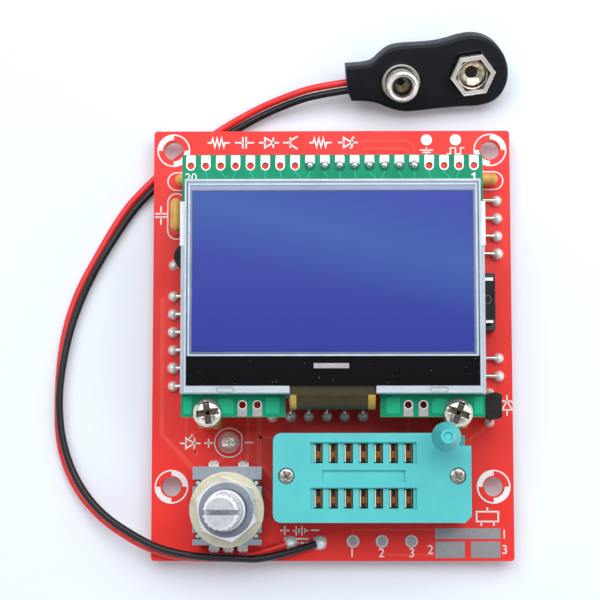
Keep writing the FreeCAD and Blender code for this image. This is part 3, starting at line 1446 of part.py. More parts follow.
def wire_tube(label, route):
    """A tube along straight runs joined by tangent arcs, as large as the runs allow."""
    points = [Vector(*point) for point in route]
    edges = []
    radii = []
    start = points[0]
    for before, here, after in zip(points, points[1:], points[2:]):
        back = (before - here).normalize()
        ahead = (after - here).normalize()
        half_turn = (math.pi - back.getAngle(ahead)) / 2
        reach = ARC_SHARE * min((before - here).Length, (after - here).Length)
        radius = reach / math.tan(half_turn)
        radii.append(radius)
        entry = here + back * reach
        leave = here + ahead * reach
        inward = (back + ahead).normalize()
        crown = here + inward * (radius / math.cos(half_turn) - radius)
        edges.append(Part.LineSegment(start, entry).toShape())
        edges.append(Part.Arc(entry, crown, leave).toShape())
        start = leave
    edges.append(Part.LineSegment(start, points[-1]).toShape())
    path = Part.Wire(edges)
    radius = size.wire_diameter.value / 2
    ring = Part.Circle(points[0], points[1] - points[0], radius).toShape()
    tube = path.makePipeShell([Part.Wire([ring])], True, False)
    item = doc.addObject("Part::Feature", label)
    item.Shape = tube
    item.Placement = Placement()
    share = tube.Volume / (math.pi * radius ** 2 * path.Length)
    print(f"{label}: length {path.Length:.1f}, least radius {min(radii):.1f}, volume share {share:.4f}")
    part(label, item)


def make_wires():
    """The battery wires and the solder that joins them to the board."""
    joints = []
    for step in (0, 1):
        x = size.wire_pad_offset - size.wire_pad_pitch * step
        y = size.wire_pad_margin - board_far
        joints.append(cone(x, y, board_top, size.wire_joint_diameter, size.wire_joint_top,
                           size.wire_joint_height))
    part("lead_solder", group(*joints))
    wire_tube("red_wire", RED_ROUTE)
    wire_tube("black_wire", BLACK_ROUTE)


def make_snap():
    """The battery snap, propped on one edge by its wires: soft cover, inner plate and two contacts."""
    x = size.snap_offset_x
    y = board_far + size.snap_offset_y
    z = size.snap_hex_end / 2 * math.sin(math.radians(SNAP_TILT))
    turn = Rotation(Vector(0, 0, 1), SNAP_TURN) * Rotation(Vector(1, 0, 0), SNAP_TILT)
    half = size.snap_contact_pitch / 2
    plate_base = size.snap_skin
    plate_top = plate_base + size.snap_plate_thickness
    gap = size.snap_hole_clearance

    body = doc.addObject("PartDesign::Body", "snap_blank")
    outline = sketch_on(body, "XY_Plane")
    tail_x = -half - size.snap_tail_length
    neck_x = -half - size.snap_neck_length
    ladder = [(tail_x, size.snap_tail_width / 2), (neck_x, size.snap_neck_width / 2),
              (-half, size.snap_stud_end / 2), (as_size(0), size.snap_waist / 2),
              (half, size.snap_hex_end / 2)]
    polygon(outline, [(u, -v) for u, v in ladder] + [(u, v) for u, v in reversed(ladder)])
    pad(body, outline, size.snap_thickness)
    for end_x, diameter in ((-half, size.snap_stud_end), (half, size.snap_hex_end)):
        disc = sketch_on(body, "XY_Plane")
        circle(disc, end_x, 0, diameter)
        pad(body, disc, size.snap_thickness)
    for end_x, diameter in ((-half, size.stud_flange_diameter), (half, size.hex_flange_diameter)):
        opening = sketch_on(body, "XY_Plane", size.snap_thickness)
        circle(opening, end_x, 0, diameter + 2 * gap)
        pocket(body, opening, size.snap_thickness - plate_top)
    plate_length = size.snap_contact_pitch + 2 * size.snap_plate_overhang
    room = box(0, 0, plate_base, plate_length + 2 * gap, size.snap_plate_width + 2 * gap,
               size.snap_plate_thickness)
    part("snap_cover", place(cut(body, room), x, y, z, turn))
    plate = box(0, 0, plate_base, plate_length, size.snap_plate_width, size.snap_plate_thickness)
    part("snap_plate", place(group(plate), x, y, z, turn))

    flange = cylinder(-half, 0, plate_top, size.stud_flange_diameter, size.contact_sheet)
    post = cylinder(-half, 0, plate_top, size.stud_diameter, size.stud_height)
    post_bore = cylinder(-half, 0, plate_top + size.contact_sheet, size.stud_bore, size.stud_height)
    part("snap_stud", place(cut(fuse(flange, post), post_bore), x, y, z, turn))
    seat = cylinder(half, 0, plate_top, size.hex_flange_diameter, size.contact_sheet)
    crown = hexagon(half, 0, plate_top, size.hex_flats, size.hex_height)
    crown_bore = hexagon(half, 0, plate_top + size.contact_sheet, size.hex_bore, size.hex_height)
    part("snap_socket", place(cut(fuse(seat, crown), crown_bore), x, y, z, turn))


def make_solder():
    """Solder joints under the board, on whose tips it stands, and the domes on the upper sides."""
    for name, joints in JOINTS.items():
        part(f"{name}_solder_joints", group(*joints))
    part("top_solder_fillets", group(*TOP_FILLETS))


def check_model():
    """Stop on any object that failed and on any piece that isn't a sound solid."""
    doc.recompute()
    for item in doc.Objects:
        if "Invalid" in item.State or "Error" in item.State:
            raise RuntimeError(f"{item.Label} failed: {item.State}")
    for piece in PARTS:
        if piece.Shape.isNull() or not piece.Shape.isValid() or not piece.Shape.Solids:
            raise RuntimeError(f"{piece.Label} is not a valid solid")


def write_parts():
    """One file for each named piece."""
    os.makedirs("parts", exist_ok=True)
    for piece in PARTS:
        piece.Shape.exportStep(f"parts/{piece.Label}.step")
    print(f"{len(PARTS)} parts written")


make_display_board()
make_display_header()
make_display_stack()
make_processor()
make_resistors()
make_capacitors()
make_crystal()
make_transistors()
make_led()
make_encoder()
make_zif_base()
make_zif_slider()
make_zif_cover()
make_zif_screws()
make_zif_contacts()
make_zif_lever()
make_wires()
make_snap()
make_solder()
make_main_board()
check_model()
write_parts()
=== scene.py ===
"""Looks of the component tester: finishes, printed marks, tracks, solder, wires, floor and light."""

import json
import math
import random

import bpy
from mathutils import Matrix, Vector


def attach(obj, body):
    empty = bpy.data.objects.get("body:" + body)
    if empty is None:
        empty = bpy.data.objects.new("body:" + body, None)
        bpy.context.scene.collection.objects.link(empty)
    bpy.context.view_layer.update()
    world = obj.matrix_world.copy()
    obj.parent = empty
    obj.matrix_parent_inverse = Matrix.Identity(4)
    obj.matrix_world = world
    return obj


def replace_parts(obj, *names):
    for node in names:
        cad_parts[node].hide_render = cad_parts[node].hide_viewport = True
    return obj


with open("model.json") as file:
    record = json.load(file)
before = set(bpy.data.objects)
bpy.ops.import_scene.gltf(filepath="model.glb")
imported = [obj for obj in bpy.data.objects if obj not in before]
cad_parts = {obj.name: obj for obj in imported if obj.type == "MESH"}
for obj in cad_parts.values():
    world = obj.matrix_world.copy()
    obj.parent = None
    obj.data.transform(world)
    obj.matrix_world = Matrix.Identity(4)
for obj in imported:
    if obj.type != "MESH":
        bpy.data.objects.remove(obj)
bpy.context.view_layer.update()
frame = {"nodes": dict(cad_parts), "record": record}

MM = 0.001
FULL_TURN = 360
ROUND_STEPS = 48
HEXAGON_SIDES = 6
SHARP_ANGLE = 40
WELD_DISTANCE = 1e-6
LEAST_MITRE = 0.3
NOISE_DETAIL = 3.0
FIGURE_SHARE = 0.72  # height of a figure as a share of its type size
MIX_LOW, MIX_HIGH, MIX_RESULT = (6, 7, 2)  # sockets of a mix node that take and give colours
UPRIGHT = Matrix.Identity(3)

# Levels above the floor, in millimetres
BOARD_UNDER = 2.6
BOARD_TOP = 4.2
DISPLAY_TOP = 17.8
TRACK_HEIGHT = 0.05
PRINT_HEIGHT = 0.08
PAD_HEIGHT = 0.06
PAD_RIM = 0.04
SPARE_PAD_RIM = 0.03

# Outlines and places on the boards, in millimetres
DISPLAY_NEAR = -13.4
DISPLAY_FAR = 31.3
PAD_PITCH = 2.54
PAD_COUNT = 20
PAD_HOLE_RADIUS = 0.6
PAD_HALF_WIDTH = 0.8
PAD_INSET = 0.1
TRACK_SHIFTS = (0.0, 0.5, -0.4, 0.9, 0.2)
TRACK_BENDS = (28.7, 28.2, 27.5, 25.8)
PAD_TRACK_WIDTH = 0.22
FIRST_SOLDERED_PAD = 5
LAST_SOLDERED_PAD = 12
PAD_ROW = 29.4
SPARE_PADS = (-15.24, -12.7, 12.7, 15.24)
SPARE_PAD_ROW = -11.35
SPARE_PAD_RADIUS = 0.78
MOUNT_HOLES = [(-28.25, 34.6, 90), (28.25, 34.6, 0), (-28.25, -25.2, 0), (28.25, -25.2, 90)]
LED_PLACE = (-18.14, -17.5)
LED_RING_RADIUS = 2.55
HOLE_RING_RADII = (1.95, 2.7, 2.95)
RESISTOR_HALF = 1.3
TEST_POINTS = [(3.58, -34.68), (8.65, -34.68), (13.80, -34.68)]
TEST_POINT_RADII = (0.82, 1.1)
PROBE_POINTS = [(16.94, 36.44), (22.11, 36.44)]
PROBE_POINT_RADII = (0.6, 0.98)
TEST_FIELDS = [(17.92, -34.28, 29.34, -32.41), (17.94, -37.57, 23.11, -34.71), (24.15, -37.57, 29.30, -34.71)]
LEAD_FIELDS = [(-8.53, -36, -6.43, -33.95), (-3.33, -36, -1.23, -33.95)]
CAPACITOR_OUTLINES = [(-27.65, 22.7, 4.1, 90), (-26.4, 29, 2.85, 0), (27.3, 29.05, 3.2, 0)]
BOARD_NUMBERS = [("1", 3.4, -36.75), ("2", 8.55, -36.75), ("3", 13.85, -36.75),
                 ("1", 29.98, -33.5), ("2", 17.1, -36.2), ("3", 30.05, -36.2)]
DISPLAY_SCREWS = [(-21.05, -12.7, 0.15), (21.05, -12.7, -0.35)]
COPPER_FIELDS = [
    [(-19.4, -12.8), (-16.7, -12.8), (-16.7, -10.9), (-17.4, -10.2), (-19.4, -10.5)],
    [(-11.3, -12.8), (-9, -12.8), (-9, -10.1), (-11.3, -10.1)],
    [(-25.2, -12.9), (-23.8, -12.9), (-23.8, -9.9), (-25.2, -9.9)],
]
GLASS_TOP = 21.4
SHIELD_TOP = 21.5
TAPE_LEVEL = 19.95
ZIF_ROWS = (-19.465, -27.085)
ZIF_FIRST_X = -2.46
ZIF_COLUMNS = 7
ZIF_MIDDLE_Y = -23.275
ZIF_SCREWS = (-7.85, 21.05)
ZIF_SCREW_LEVEL = 15.9
SEED = 11
DUST_COUNT = 18
ENCODER_AXIS = (-18.14, -29.02)
NOTCH_LEVEL = 10.2
CHIP_TOP = 12.1
CHIP_MARK_PLACE = (26.7, 6.99)


def in_row(x, y, count, step_x=0.0, step_y=0.0):
    """Places at equal steps in a row."""
    return [(x + step_x * index, y + step_y * index) for index in range(count)]


# Solder joints at the outer ends of the resistors, in millimetres
RESISTOR_PITCH = 3.175
LEFT_JOINTS = in_row(-28.1, 8.3, 6, step_y=-RESISTOR_PITCH)
RIGHT_FAR_JOINTS = in_row(29.3, 25.3, 4, step_y=-RESISTOR_PITCH)
RIGHT_NEAR_JOINTS = in_row(29.3, -2.7, 2, step_y=-RESISTOR_PITCH)
NEAR_JOINTS = in_row(-10.5, -12.9, 6, step_x=RESISTOR_PITCH)
SIDE_JOINTS = [*LEFT_JOINTS, *RIGHT_FAR_JOINTS, *RIGHT_NEAR_JOINTS]

# Other solder on the red board: transistors' middles, tabs beside the encoder's axis, wire ends and their lean
TRANSISTOR_PLACES = [(27.65, -11.35), (-25.05, 14.45), (-13.2, 12.6), (-18.4, 23.1)]
LONE_JOINT = (-28.1, 13.9)
ENCODER_TABS = [(-2.6, -21.1), (2.6, -21.1), (-2.5, -36.2), (0, -36.2), (2.5, -36.2)]
LEAD_JOINTS = [(-7.4, -34.95, (-0.1, 0.1, 1)), (-2.25, -34.95, (-0.15, 0.1, 1))]

# Resistor bands: distance from the outer joint and radius of the body there
RESISTOR_BANDS = {
    "brown_bands": [(5.35, 0.95), (8.2, 1.15)], "dark_bands": [(6.1, 0.95)], "red_bands": [(6.85, 0.95)],
}

# Routes of the battery wires, in millimetres
WIRE_DIAMETER = 1.3
RED_ROUTE = [
    (-8.1, -35.2, 5.05), (-12.36, -36.68, 4.93), (-18.56, -37.7, 4.95), (-25.06, -37.51, 4.95),
    (-29.46, -36.84, 5.35), (-34.25, -34.95, 4.94), (-41.2, -30.63, 2.6), (-46.19, -24.68, 1.06),
    (-48.78, -17.33, 0.67), (-48.98, -9.63, 0.71), (-48.64, -2.51, 0.7), (-47.45, 4.24, 0.7),
    (-45.23, 10.48, 0.7), (-42.17, 16.06, 0.7), (-39.2, 21.4, 0.7), (-36.03, 26.09, 0.7),
    (-30.22, 31.76, 0.69), (-24.81, 35.69, 0.79), (-19.1, 39.57, 1.11), (-12.92, 42.79, 2.22),
    (-7.68, 44.68, 3.55), (-3.05, 46.04, 4.55), (2.888, 46.902, 4.566),
]
BLACK_ROUTE = [
    (-2.9, -35.1, 5.15), (-11.15, -37.79, 6), (-17.26, -37.51, 6.47), (-23.56, -37.28, 6.78),
    (-29.48, -36.08, 6.87), (-33.56, -34.28, 6.03), (-40.53, -30.1, 3.82), (-45.37, -24.22, 2.1),
    (-48.02, -17.09, 1.87), (-48.67, -9.66, 2.06), (-47.88, -2.5, 1.93), (-46.36, 4.13, 1.68),
    (-44.04, 10.19, 1.49), (-41.17, 15.62, 1.7), (-38.07, 20.72, 1.35), (-34.95, 25.25, 1.33),
    (-29.52, 30.65, 0.9), (-24.06, 34.58, 0.84), (-18.4, 38.35, 1.01), (-12.34, 41.57, 1.85),
    (-7.13, 43.57, 2.91), (-2.865, 44.75, 3.8), (3.075, 45.616, 3.816),
]

# The battery snap lies turned and propped up on one edge
SNAP_PLACE = (18.4, 49.0, 3.325)
SNAP_TURN = 8.3
SNAP_TILT = 30.0
CONTACT_REACH = 6.35


def srgb(red, green, blue):
    """A colour as screens write it, turned into the linear values that shaders take."""
    shares = [channel / 255 for channel in (red, green, blue)]
    linear = [share / 12.92 if share <= 0.04045 else ((share + 0.055) / 1.055) ** 2.4 for share in shares]
    return (*linear, 1.0)


def feed(tree, node, values):
    """Inputs of a node, by name or number, take linked outputs or plain values."""
    for key, value in values.items():
        if isinstance(value, bpy.types.NodeSocket):
            tree.links.new(value, node.inputs[key])
        else:
            node.inputs[key].default_value = value


def mix_node(tree, factor, low, high):
    """A node that mixes two colours or two linked colour outputs."""
    node = tree.nodes.new("ShaderNodeMix")
    node.data_type = "RGBA"
    feed(tree, node, {"Factor": factor, MIX_LOW: low, MIX_HIGH: high})
    return node.outputs[MIX_RESULT]


def math_node(tree, operation, *values):
    """A node that works out one value from others."""
    node = tree.nodes.new("ShaderNodeMath")
    node.operation = operation
    feed(tree, node, dict(enumerate(values)))
    return node.outputs["Value"]


def split_node(tree, kind, output):
    """The three parts of a vector that a node gives out."""
    source = tree.nodes.new(kind)
    parts = tree.nodes.new("ShaderNodeSeparateXYZ")
    feed(tree, parts, {"Vector": source.outputs[output]})
    return parts.outputs


def map_node(tree, value, low, high, from_low=0.3, from_high=0.7):
    """A node that maps a value from one range to another."""
    node = tree.nodes.new("ShaderNodeMapRange")
    feed(tree, node, {"Value": value, "From Min": from_low, "From Max": from_high, "To Min": low, "To Max": high})
    return node.outputs["Result"]


def noise_node(tree, size):
    """Soft noise whose spots are about one size, in millimetres."""
    place = tree.nodes.new("ShaderNodeTexCoord").outputs["Object"]
    node = tree.nodes.new("ShaderNodeTexNoise")
    feed(tree, node, {"Vector": place, "Scale": 1 / (size * MM), "Detail": NOISE_DETAIL})
    return node.outputs["Fac"]


def upright_share(tree, low, high):
    """One on faces that look up or down, nought on upright sides."""
    normal = split_node(tree, "ShaderNodeNewGeometry", "True Normal")
    return map_node(tree, math_node(tree, "ABSOLUTE", normal["Z"]), 0.0, 1.0, low, high)


FINISHES = {}


def surface(name, light, dark, gloss, patch=3.0, metal=0.0, grain=None, side=None, steep=(0.3, 0.7), sheen=0.5,
            **sockets):
    """A finish with two tones and a range of roughness in soft patches, kept under its name.

    patch is the size of the patches in millimetres, grain the size and height of a fine relief, and
    side the tone of upright sides where these differ: on the nut, shaft and vinyl finishes it is painted
    highlight, and on the thread painted shade. steep tells how far a side may lean, and
    sheen how strongly a bare surface mirrors.
    """
    made = bpy.data.materials.new(f"{name}_finish")
    FINISHES[name] = made
    made.use_nodes = True
    tree = made.node_tree
    shader = tree.nodes["Principled BSDF"]
    patches = noise_node(tree, patch)
    color = mix_node(tree, map_node(tree, patches, 0.0, 1.0), srgb(*light), srgb(*dark))
    # The side tone follows how a face turns: painted highlight on the nut, shaft and vinyl, painted shade on the
    # thread.
    if side:
        color = mix_node(tree, upright_share(tree, *steep), srgb(*side), color)
    named = {socket.replace("_", " ").title().replace("Ior", "IOR"): value for socket, value in sockets.items()}
    feed(tree, shader, {"Base Color": color, "Roughness": map_node(tree, patches, *gloss), "Metallic": metal,
                        "Specular IOR Level": sheen, **named})
    if grain:
        size, height = grain
        relief = tree.nodes.new("ShaderNodeBump")
        feed(tree, relief, {"Distance": height * MM, "Height": noise_node(tree, size)})
        feed(tree, shader, {"Normal": relief.outputs["Normal"]})
    return tree, shader


def display_film():
    """The blue film of the display, lighter towards its far edge and along a soft slanting gleam: painted sheen,
    the light's reflection drawn into its colour.
    """
    tree, shader = surface("blue_film", (54, 66, 172), (50, 61, 168), (0.2, 0.26), 16, sheen=0.14)
    across, along, _ = split_node(tree, "ShaderNodeTexCoord", "Generated")
    # The lighter far tone and the slanting gleam are painted sheen over the film's own blue.
    near_tone = srgb(46, 60, 151)
    painted_sheen_far_tone = srgb(55, 71, 164)
    painted_gleam_tone = srgb(61, 96, 165)
    gleam_lean = 0.42
    gleam_start, gleam_middle, gleam_end = (0.62, 0.95, 1.3)
    gleam_strength = 0.75
    color = mix_node(tree, map_node(tree, along, 0.0, 1.0, 0.0, 1.0), near_tone, painted_sheen_far_tone)
    slant = math_node(tree, "MULTIPLY_ADD", across, gleam_lean, along)
    gleam = math_node(tree, "MULTIPLY", map_node(tree, slant, 0.0, 1.0, gleam_start, gleam_middle),
                      map_node(tree, slant, 1.0, 0.0, gleam_middle, gleam_end))
    color = mix_node(tree, map_node(tree, gleam, 0.0, gleam_strength, 0.0, 1.0), color, painted_gleam_tone)
    feed(tree, shader, {"Base Color": color})


NEAR_WHITE = (246, 246, 246)
surface("red_board", (250, 57, 50), (244, 47, 41), (0.34, 0.44), 9, grain=(0.5, 0.004), side=(246, 138, 111),
        sheen=0.28)
surface("green_board", (5, 154, 113), (3, 138, 100), (0.3, 0.42), 6, grain=(0.5, 0.004), side=(195, 202, 129),
        sheen=0.14)
surface("solder", (214, 214, 216), (178, 180, 186), (0.1, 0.26), 0.7, 1, grain=(0.3, 0.012))
surface("nickel", (222, 219, 212), (200, 197, 190), (0.1, 0.24), 1.2, 1, grain=(0.4, 0.004))
surface("zinc", (196, 201, 210), (172, 178, 190), (0.28, 0.44), 1, 1, grain=(0.16, 0.008))
surface("yellow_zinc", (224, 220, 194), (206, 202, 176), (0.26, 0.4), 2, 1, grain=(0.3, 0.003))
surface("brass", (222, 188, 112), (200, 164, 92), (0.18, 0.34), 1.5, 1)
surface("bronze", (156, 108, 60), (112, 74, 38), (0.24, 0.4), 1, 0.8)
surface("clear_plastic", (222, 233, 243), (207, 218, 232), (0.16, 0.3), 5, grain=(0.8, 0.01),
        transmission_weight=0.2, ior=1.49)
surface("display_glass", (147, 163, 197), (136, 152, 188), (0.06, 0.12), 8, transmission_weight=0.15, ior=1.5)
display_film()
surface("black_plastic", (47, 47, 51), (36, 36, 39), (0.4, 0.55), 2, grain=(0.25, 0.006))
surface("black_film", (11, 11, 14), (7, 7, 11), (0.24, 0.36), 4, sheen=0.06)
surface("amber_film", (68, 60, 34), (52, 45, 25), (0.2, 0.32), 3, sheen=0.3)
surface("chip", (20, 20, 22), (14, 14, 17), (0.42, 0.58), 1.5, grain=(0.12, 0.006), sheen=0.25)
surface("resistor_body", (145, 204, 236), (129, 186, 220), (0.3, 0.45), 1.5, grain=(0.4, 0.01))
surface("ceramic", (246, 193, 93), (216, 150, 63), (0.26, 0.42), 2.4, grain=(0.5, 0.012))
surface("can", (47, 52, 77), (38, 41, 63), (0.3, 0.42), 2)
surface("clear_lens", NEAR_WHITE, NEAR_WHITE, (0.04, 0.1), 2, transmission_weight=0.6, ior=1.45, alpha=0.5)
surface("teal_plastic", (85, 203, 205), (78, 194, 197), (0.36, 0.48), 5, grain=(0.2, 0.006), subsurface_weight=0.08,
        subsurface_scale=0.001)
surface("grey_plastic", (172, 175, 179), (159, 161, 166), (0.4, 0.55), 2, grain=(0.25, 0.006))
surface("red_insulation", (246, 50, 47), (234, 36, 36), (0.26, 0.38), 3, grain=(0.6, 0.01))
surface("black_insulation", (31, 31, 35), (22, 22, 26), (0.26, 0.4), 3, grain=(0.6, 0.01), sheen=0.35)
# Lighter green-grey upright sides of the snap cover: painted highlight along its rounded edges.
surface("black_vinyl", (21, 22, 30), (14, 16, 22), (0.36, 0.5), 3, grain=(0.7, 0.02), side=(29, 41, 41), sheen=0.22)
surface("fibre", (77, 68, 59), (63, 54, 47), (0.6, 0.8), 1, grain=(0.2, 0.01))
# Darker, browner nickel for the dished insides of the snap contacts: painted shade.
surface("painted_shade_nickel", (206, 196, 182), (150, 138, 122), (0.16, 0.3), 0.9, 1)
# Near black, laid where the holes and gaps of the contacts lie in shade: painted shade.
surface("painted_hole_shade", (18, 17, 16), (11, 11, 11), (0.6, 0.8), 1)
surface("white_tape", (246, 247, 250), NEAR_WHITE, (0.3, 0.45), 3)
surface("pale_rim", (204, 225, 232), (182, 204, 214), (0.2, 0.32), 2, grain=(0.8, 0.01))
surface("dark_rim", (120, 127, 150), (104, 112, 136), (0.3, 0.4), 2)
surface("yellow_film", (202, 172, 70), (172, 143, 52), (0.16, 0.28), 2)
# Board solder drawn near white and half matte: painted reflection over the tin's own grey.
surface("bright_blob", (246, 244, 241), (238, 236, 233), (0.2, 0.38), 0.5, 0.25, grain=(0.35, 0.02))
surface("brown_bands", (141, 81, 50), (125, 70, 43), (0.35, 0.5), 1)
surface("dark_bands", (43, 41, 43), (34, 31, 34), (0.35, 0.5), 1)
surface("red_bands", (218, 52, 45), (197, 43, 38), (0.35, 0.5), 1)
surface("screw_grey", (196, 192, 182), (120, 116, 108), (0.2, 0.45), 0.35, 1, grain=(0.3, 0.03))
surface("screw_bright", (226, 222, 212), (208, 204, 194), (0.14, 0.22), 2, 1)
# Dark tone laid low in screw recesses and frame notches: painted shade.
surface("painted_recess_shade", (92, 86, 78), (70, 64, 58), (0.3, 0.4), 0.8, 1)
surface("rim_nickel", NEAR_WHITE, (238, 232, 221), (0.18, 0.3), 0.6, 0.6)
# The nut's flat top is drawn dark as painted reflection of a dim room, its chamfers and sides near white as painted
# highlight.
surface("nut_steel", (154, 160, 172), (129, 135, 147), (0.32, 0.46), 0.7, 0.4, grain=(0.25, 0.006),
        side=(246, 250, 249), steep=(0.75, 0.95))
surface("tinned_tab", NEAR_WHITE, (241, 237, 233), (0.28, 0.4), 0.6, 0.3)
# The shaft's upright sides and chamfers are drawn near white: painted highlight.
surface("turned_alloy", (218, 219, 226), (186, 187, 195), (0.26, 0.38), 0.8, 0.35, side=(250, 252, 255),
        steep=(0.8, 0.97))
# Pale tone on the top edges of the test contacts: painted highlight.
surface("painted_highlight_metal", (246, 246, 222), (246, 236, 193), (0.3, 0.4), 1, 0.6)
surface("plated_steel", (158, 166, 172), (140, 149, 156), (0.3, 0.42), 1.5, 1, grain=(0.3, 0.004))
# The thread's flat faces are drawn near white, its flanks dark: painted highlight and painted shade.
surface("threaded_zinc", (246, 246, 250), NEAR_WHITE, (0.28, 0.4), 0.8, 0.3, side=(97, 104, 118),
        steep=(0.75, 0.95))
surface("chip_mark", (77, 77, 81), (66, 66, 70), (0.4, 0.5), 1)
surface("grey_pad", (160, 158, 160), (142, 140, 143), (0.34, 0.44), 2.5, 1, grain=(0.25, 0.004))
surface("brown_metal", (147, 97, 52), (102, 63, 31), (0.3, 0.5), 0.6, 0.6)
surface("white_ink", (250, 246, 246), NEAR_WHITE, (0.5, 0.65), 0.8)
surface("tinned_pad", (200, 199, 199), (186, 185, 187), (0.3, 0.42), 2.5, 1, grain=(0.25, 0.004))
surface("red_track", (252, 84, 72), (250, 74, 63), (0.3, 0.4), 9, grain=(0.5, 0.004), sheen=0.28)
surface("green_track", (20, 184, 138), (16, 170, 127), (0.28, 0.4), 6, grain=(0.5, 0.004), sheen=0.2)
NODE_FINISHES = {"encoder_nut": "nut_steel", "encoder_terminals": "tinned_tab",
                 "encoder_bracket": "plated_steel", "encoder_shaft": "turned_alloy"}


def new_object(name, data):
    """An object of the scene that shows some data."""
    made = bpy.data.objects.new(name, data)
    bpy.context.scene.collection.objects.link(made)
    return made


def settled_mesh(name, curve):
    """The mesh that a curve makes; the curve's own object goes."""
    holder = new_object(name, curve)
    mesh = bpy.data.meshes.new_from_object(holder.evaluated_get(bpy.context.evaluated_depsgraph_get()))
    bpy.data.objects.remove(holder)
    return mesh


def smooth_shade(mesh, finish, angle):
    """One finish all over, smooth but for edges sharper than an angle."""
    mesh.materials.clear()
    mesh.materials.append(finish)
    mesh.shade_smooth()
    mesh.set_sharp_from_angle(angle=math.radians(angle))


def round_angles(steps=ROUND_STEPS):
    """Equal angles round a full turn."""
    return [2 * math.pi * index / steps for index in range(steps)]


def around(x, y, radius, angle):
    """The place at a radius and an angle about a middle."""
    return (x + radius * math.cos(angle), y + radius * math.sin(angle))


def facing(heading):
    """The turn that brings an upright form to look along a heading."""
    return Vector((0, 0, 1)).rotation_difference(Vector(heading)).to_matrix()


class Forms:
    """Shapes of one finish, gathered in millimetres and made into one object.

    Flat shapes stand on a base and have a height, which may change from one to the next.
    """

    def __init__(self, base=0.0, height=0.0):
        self.points = []
        self.faces = []
        self.stand(base, height)

    def stand(self, base, height):
        """The level of the flat shapes that follow."""
        self.base = base
        self.top = base + height

    def add(self, points, faces):
        """More points, and faces that count from the first of them."""
        start = len(self.points)
        self.points.extend(points)
        self.faces.extend([[start + index for index in face] for face in faces])

    def join(self, rings, closed=False):
        """Rings of as many points each, joined one to the next.

        The last meets the first in a closed form, and flat ends close any other.
        """
        count = len(rings[0])
        faces = []
        for index in range(len(rings) if closed else len(rings) - 1):
            low = index * count
            high = (index + 1) % len(rings) * count
            for step in range(count):
                after = (step + 1) % count
                faces.append([low + step, low + after, high + after, high + step])
        if not closed:
            last = (len(rings) - 1) * count
            faces += [list(range(count - 1, -1, -1)), list(range(last, last + count))]
        self.add([point for ring in rings for point in ring], faces)

    def prism(self, outline):
        """A flat shape with upright sides; its outline runs anticlockwise."""
        self.join([[(*spot, z) for spot in outline] for z in (self.base, self.top)])

    def band(self, left, right, closed=False):
        """A flat ribbon between a left and a right edge of as many points."""
        low, high = self.base, self.top
        self.join([[(*one, high), (*other, high), (*other, low), (*one, low)] for one, other in zip(left, right)],
                  closed)

    def stroke(self, route, width, closed=False):
        """A line of one width along a route, with mitred corners."""
        spots = [Vector(spot) for spot in route]
        legs = [(after - spot).normalized() for spot, after in zip(spots, spots[1:] + spots[:1])]
        left = []
        right = []
        for index, spot in enumerate(spots):
            steps = [legs[index - 1], legs[index]]
            if not closed:
                steps = legs[max(index - 1, 0):min(index + 1, len(spots) - 1)]
            heading = sum(steps, Vector((0, 0))).normalized()
            reach = width / 2 / max(heading.dot(steps[0]), LEAST_MITRE)
            aside = Vector((-heading.y, heading.x)) * reach
            left.append(tuple(spot + aside))
            right.append(tuple(spot - aside))
        self.band(left, right, closed)

    def ring(self, x, y, inner, outer, start=0, sweep=FULL_TURN):
        """A flat ring, or a part of one that starts at an angle."""
        whole = sweep == FULL_TURN
        steps = max(4, round(ROUND_STEPS * sweep / FULL_TURN))
        angles = [math.radians(start + sweep * index / steps) for index in range(steps + (0 if whole else 1))]
        edges = [[around(x, y, radius, angle) for angle in angles] for radius in (inner, outer)]
        self.band(*edges, whole)

    def disc(self, x, y, radius):
        """A flat round plate."""
        self.prism([around(x, y, radius, angle) for angle in round_angles()])

    def lathe(self, place, profile, hollow=False, turn=UPRIGHT, steps=ROUND_STEPS):
        """A turned form from radii and heights that run upwards outside.

        It stands on a place and is turned from upright. A hollow one joins its last ring to its first.
        """
        rings = []
        for radius, z in profile:
            spots = [turn @ Vector((*around(0, 0, radius, angle), z)) for angle in round_angles(steps)]
            rings.append([tuple(spot + Vector(place)) for spot in spots])
        self.join(rings, hollow)

    def text(self, words, x, y, height):
        """A plain number, centred on a place."""
        curve = bpy.data.curves.new("letters", "FONT")
        curve.body = words
        curve.size = height / FIGURE_SHARE
        curve.extrude = (self.top - self.base) / 2
        curve.align_x = "CENTER"
        curve.align_y = "CENTER"
        mesh = settled_mesh("letters", curve)
        place = Vector((x, y, (self.base + self.top) / 2))
        self.add([tuple(place + vertex.co) for vertex in mesh.vertices],
                 [list(face.vertices) for face in mesh.polygons])
        bpy.data.curves.remove(curve)
        bpy.data.meshes.remove(mesh)

    def make(self, name, finish, smooth=30):
        """The object, in metres, riding on the tester."""
        mesh = bpy.data.meshes.new(name)
        mesh.from_pydata([tuple(value * MM for value in point) for point in self.points], [], self.faces)
        smooth_shade(mesh, FINISHES[finish], smooth)
        made = new_object(name, mesh)
        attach(made, "tester")
        return made


def dress_nodes():
    """Every solid gets the finish of its slot."""
    slots = {row["node"]: row["material_slot"] for row in frame["record"]["subparts"]}
    for name, node in frame["nodes"].items():
        finish = FINISHES[NODE_FINISHES.get(name, slots[name])]
        if not node.material_slots:
            node.data.materials.append(finish)
        for holder in node.material_slots:
            holder.material = finish


def soften(name, width):
    """Sharp edges of a solid get a small round, which catches the light."""
    node = frame["nodes"][name]
    weld = node.modifiers.new("weld", "WELD")
    weld.merge_threshold = WELD_DISTANCE
    bevel = node.modifiers.new("soft_edges", "BEVEL")
    bevel.width = width * MM
    bevel.segments = 2
    bevel.limit_method = "ANGLE"
    bevel.angle_limit = math.radians(SHARP_ANGLE)
    bevel.harden_normals = True


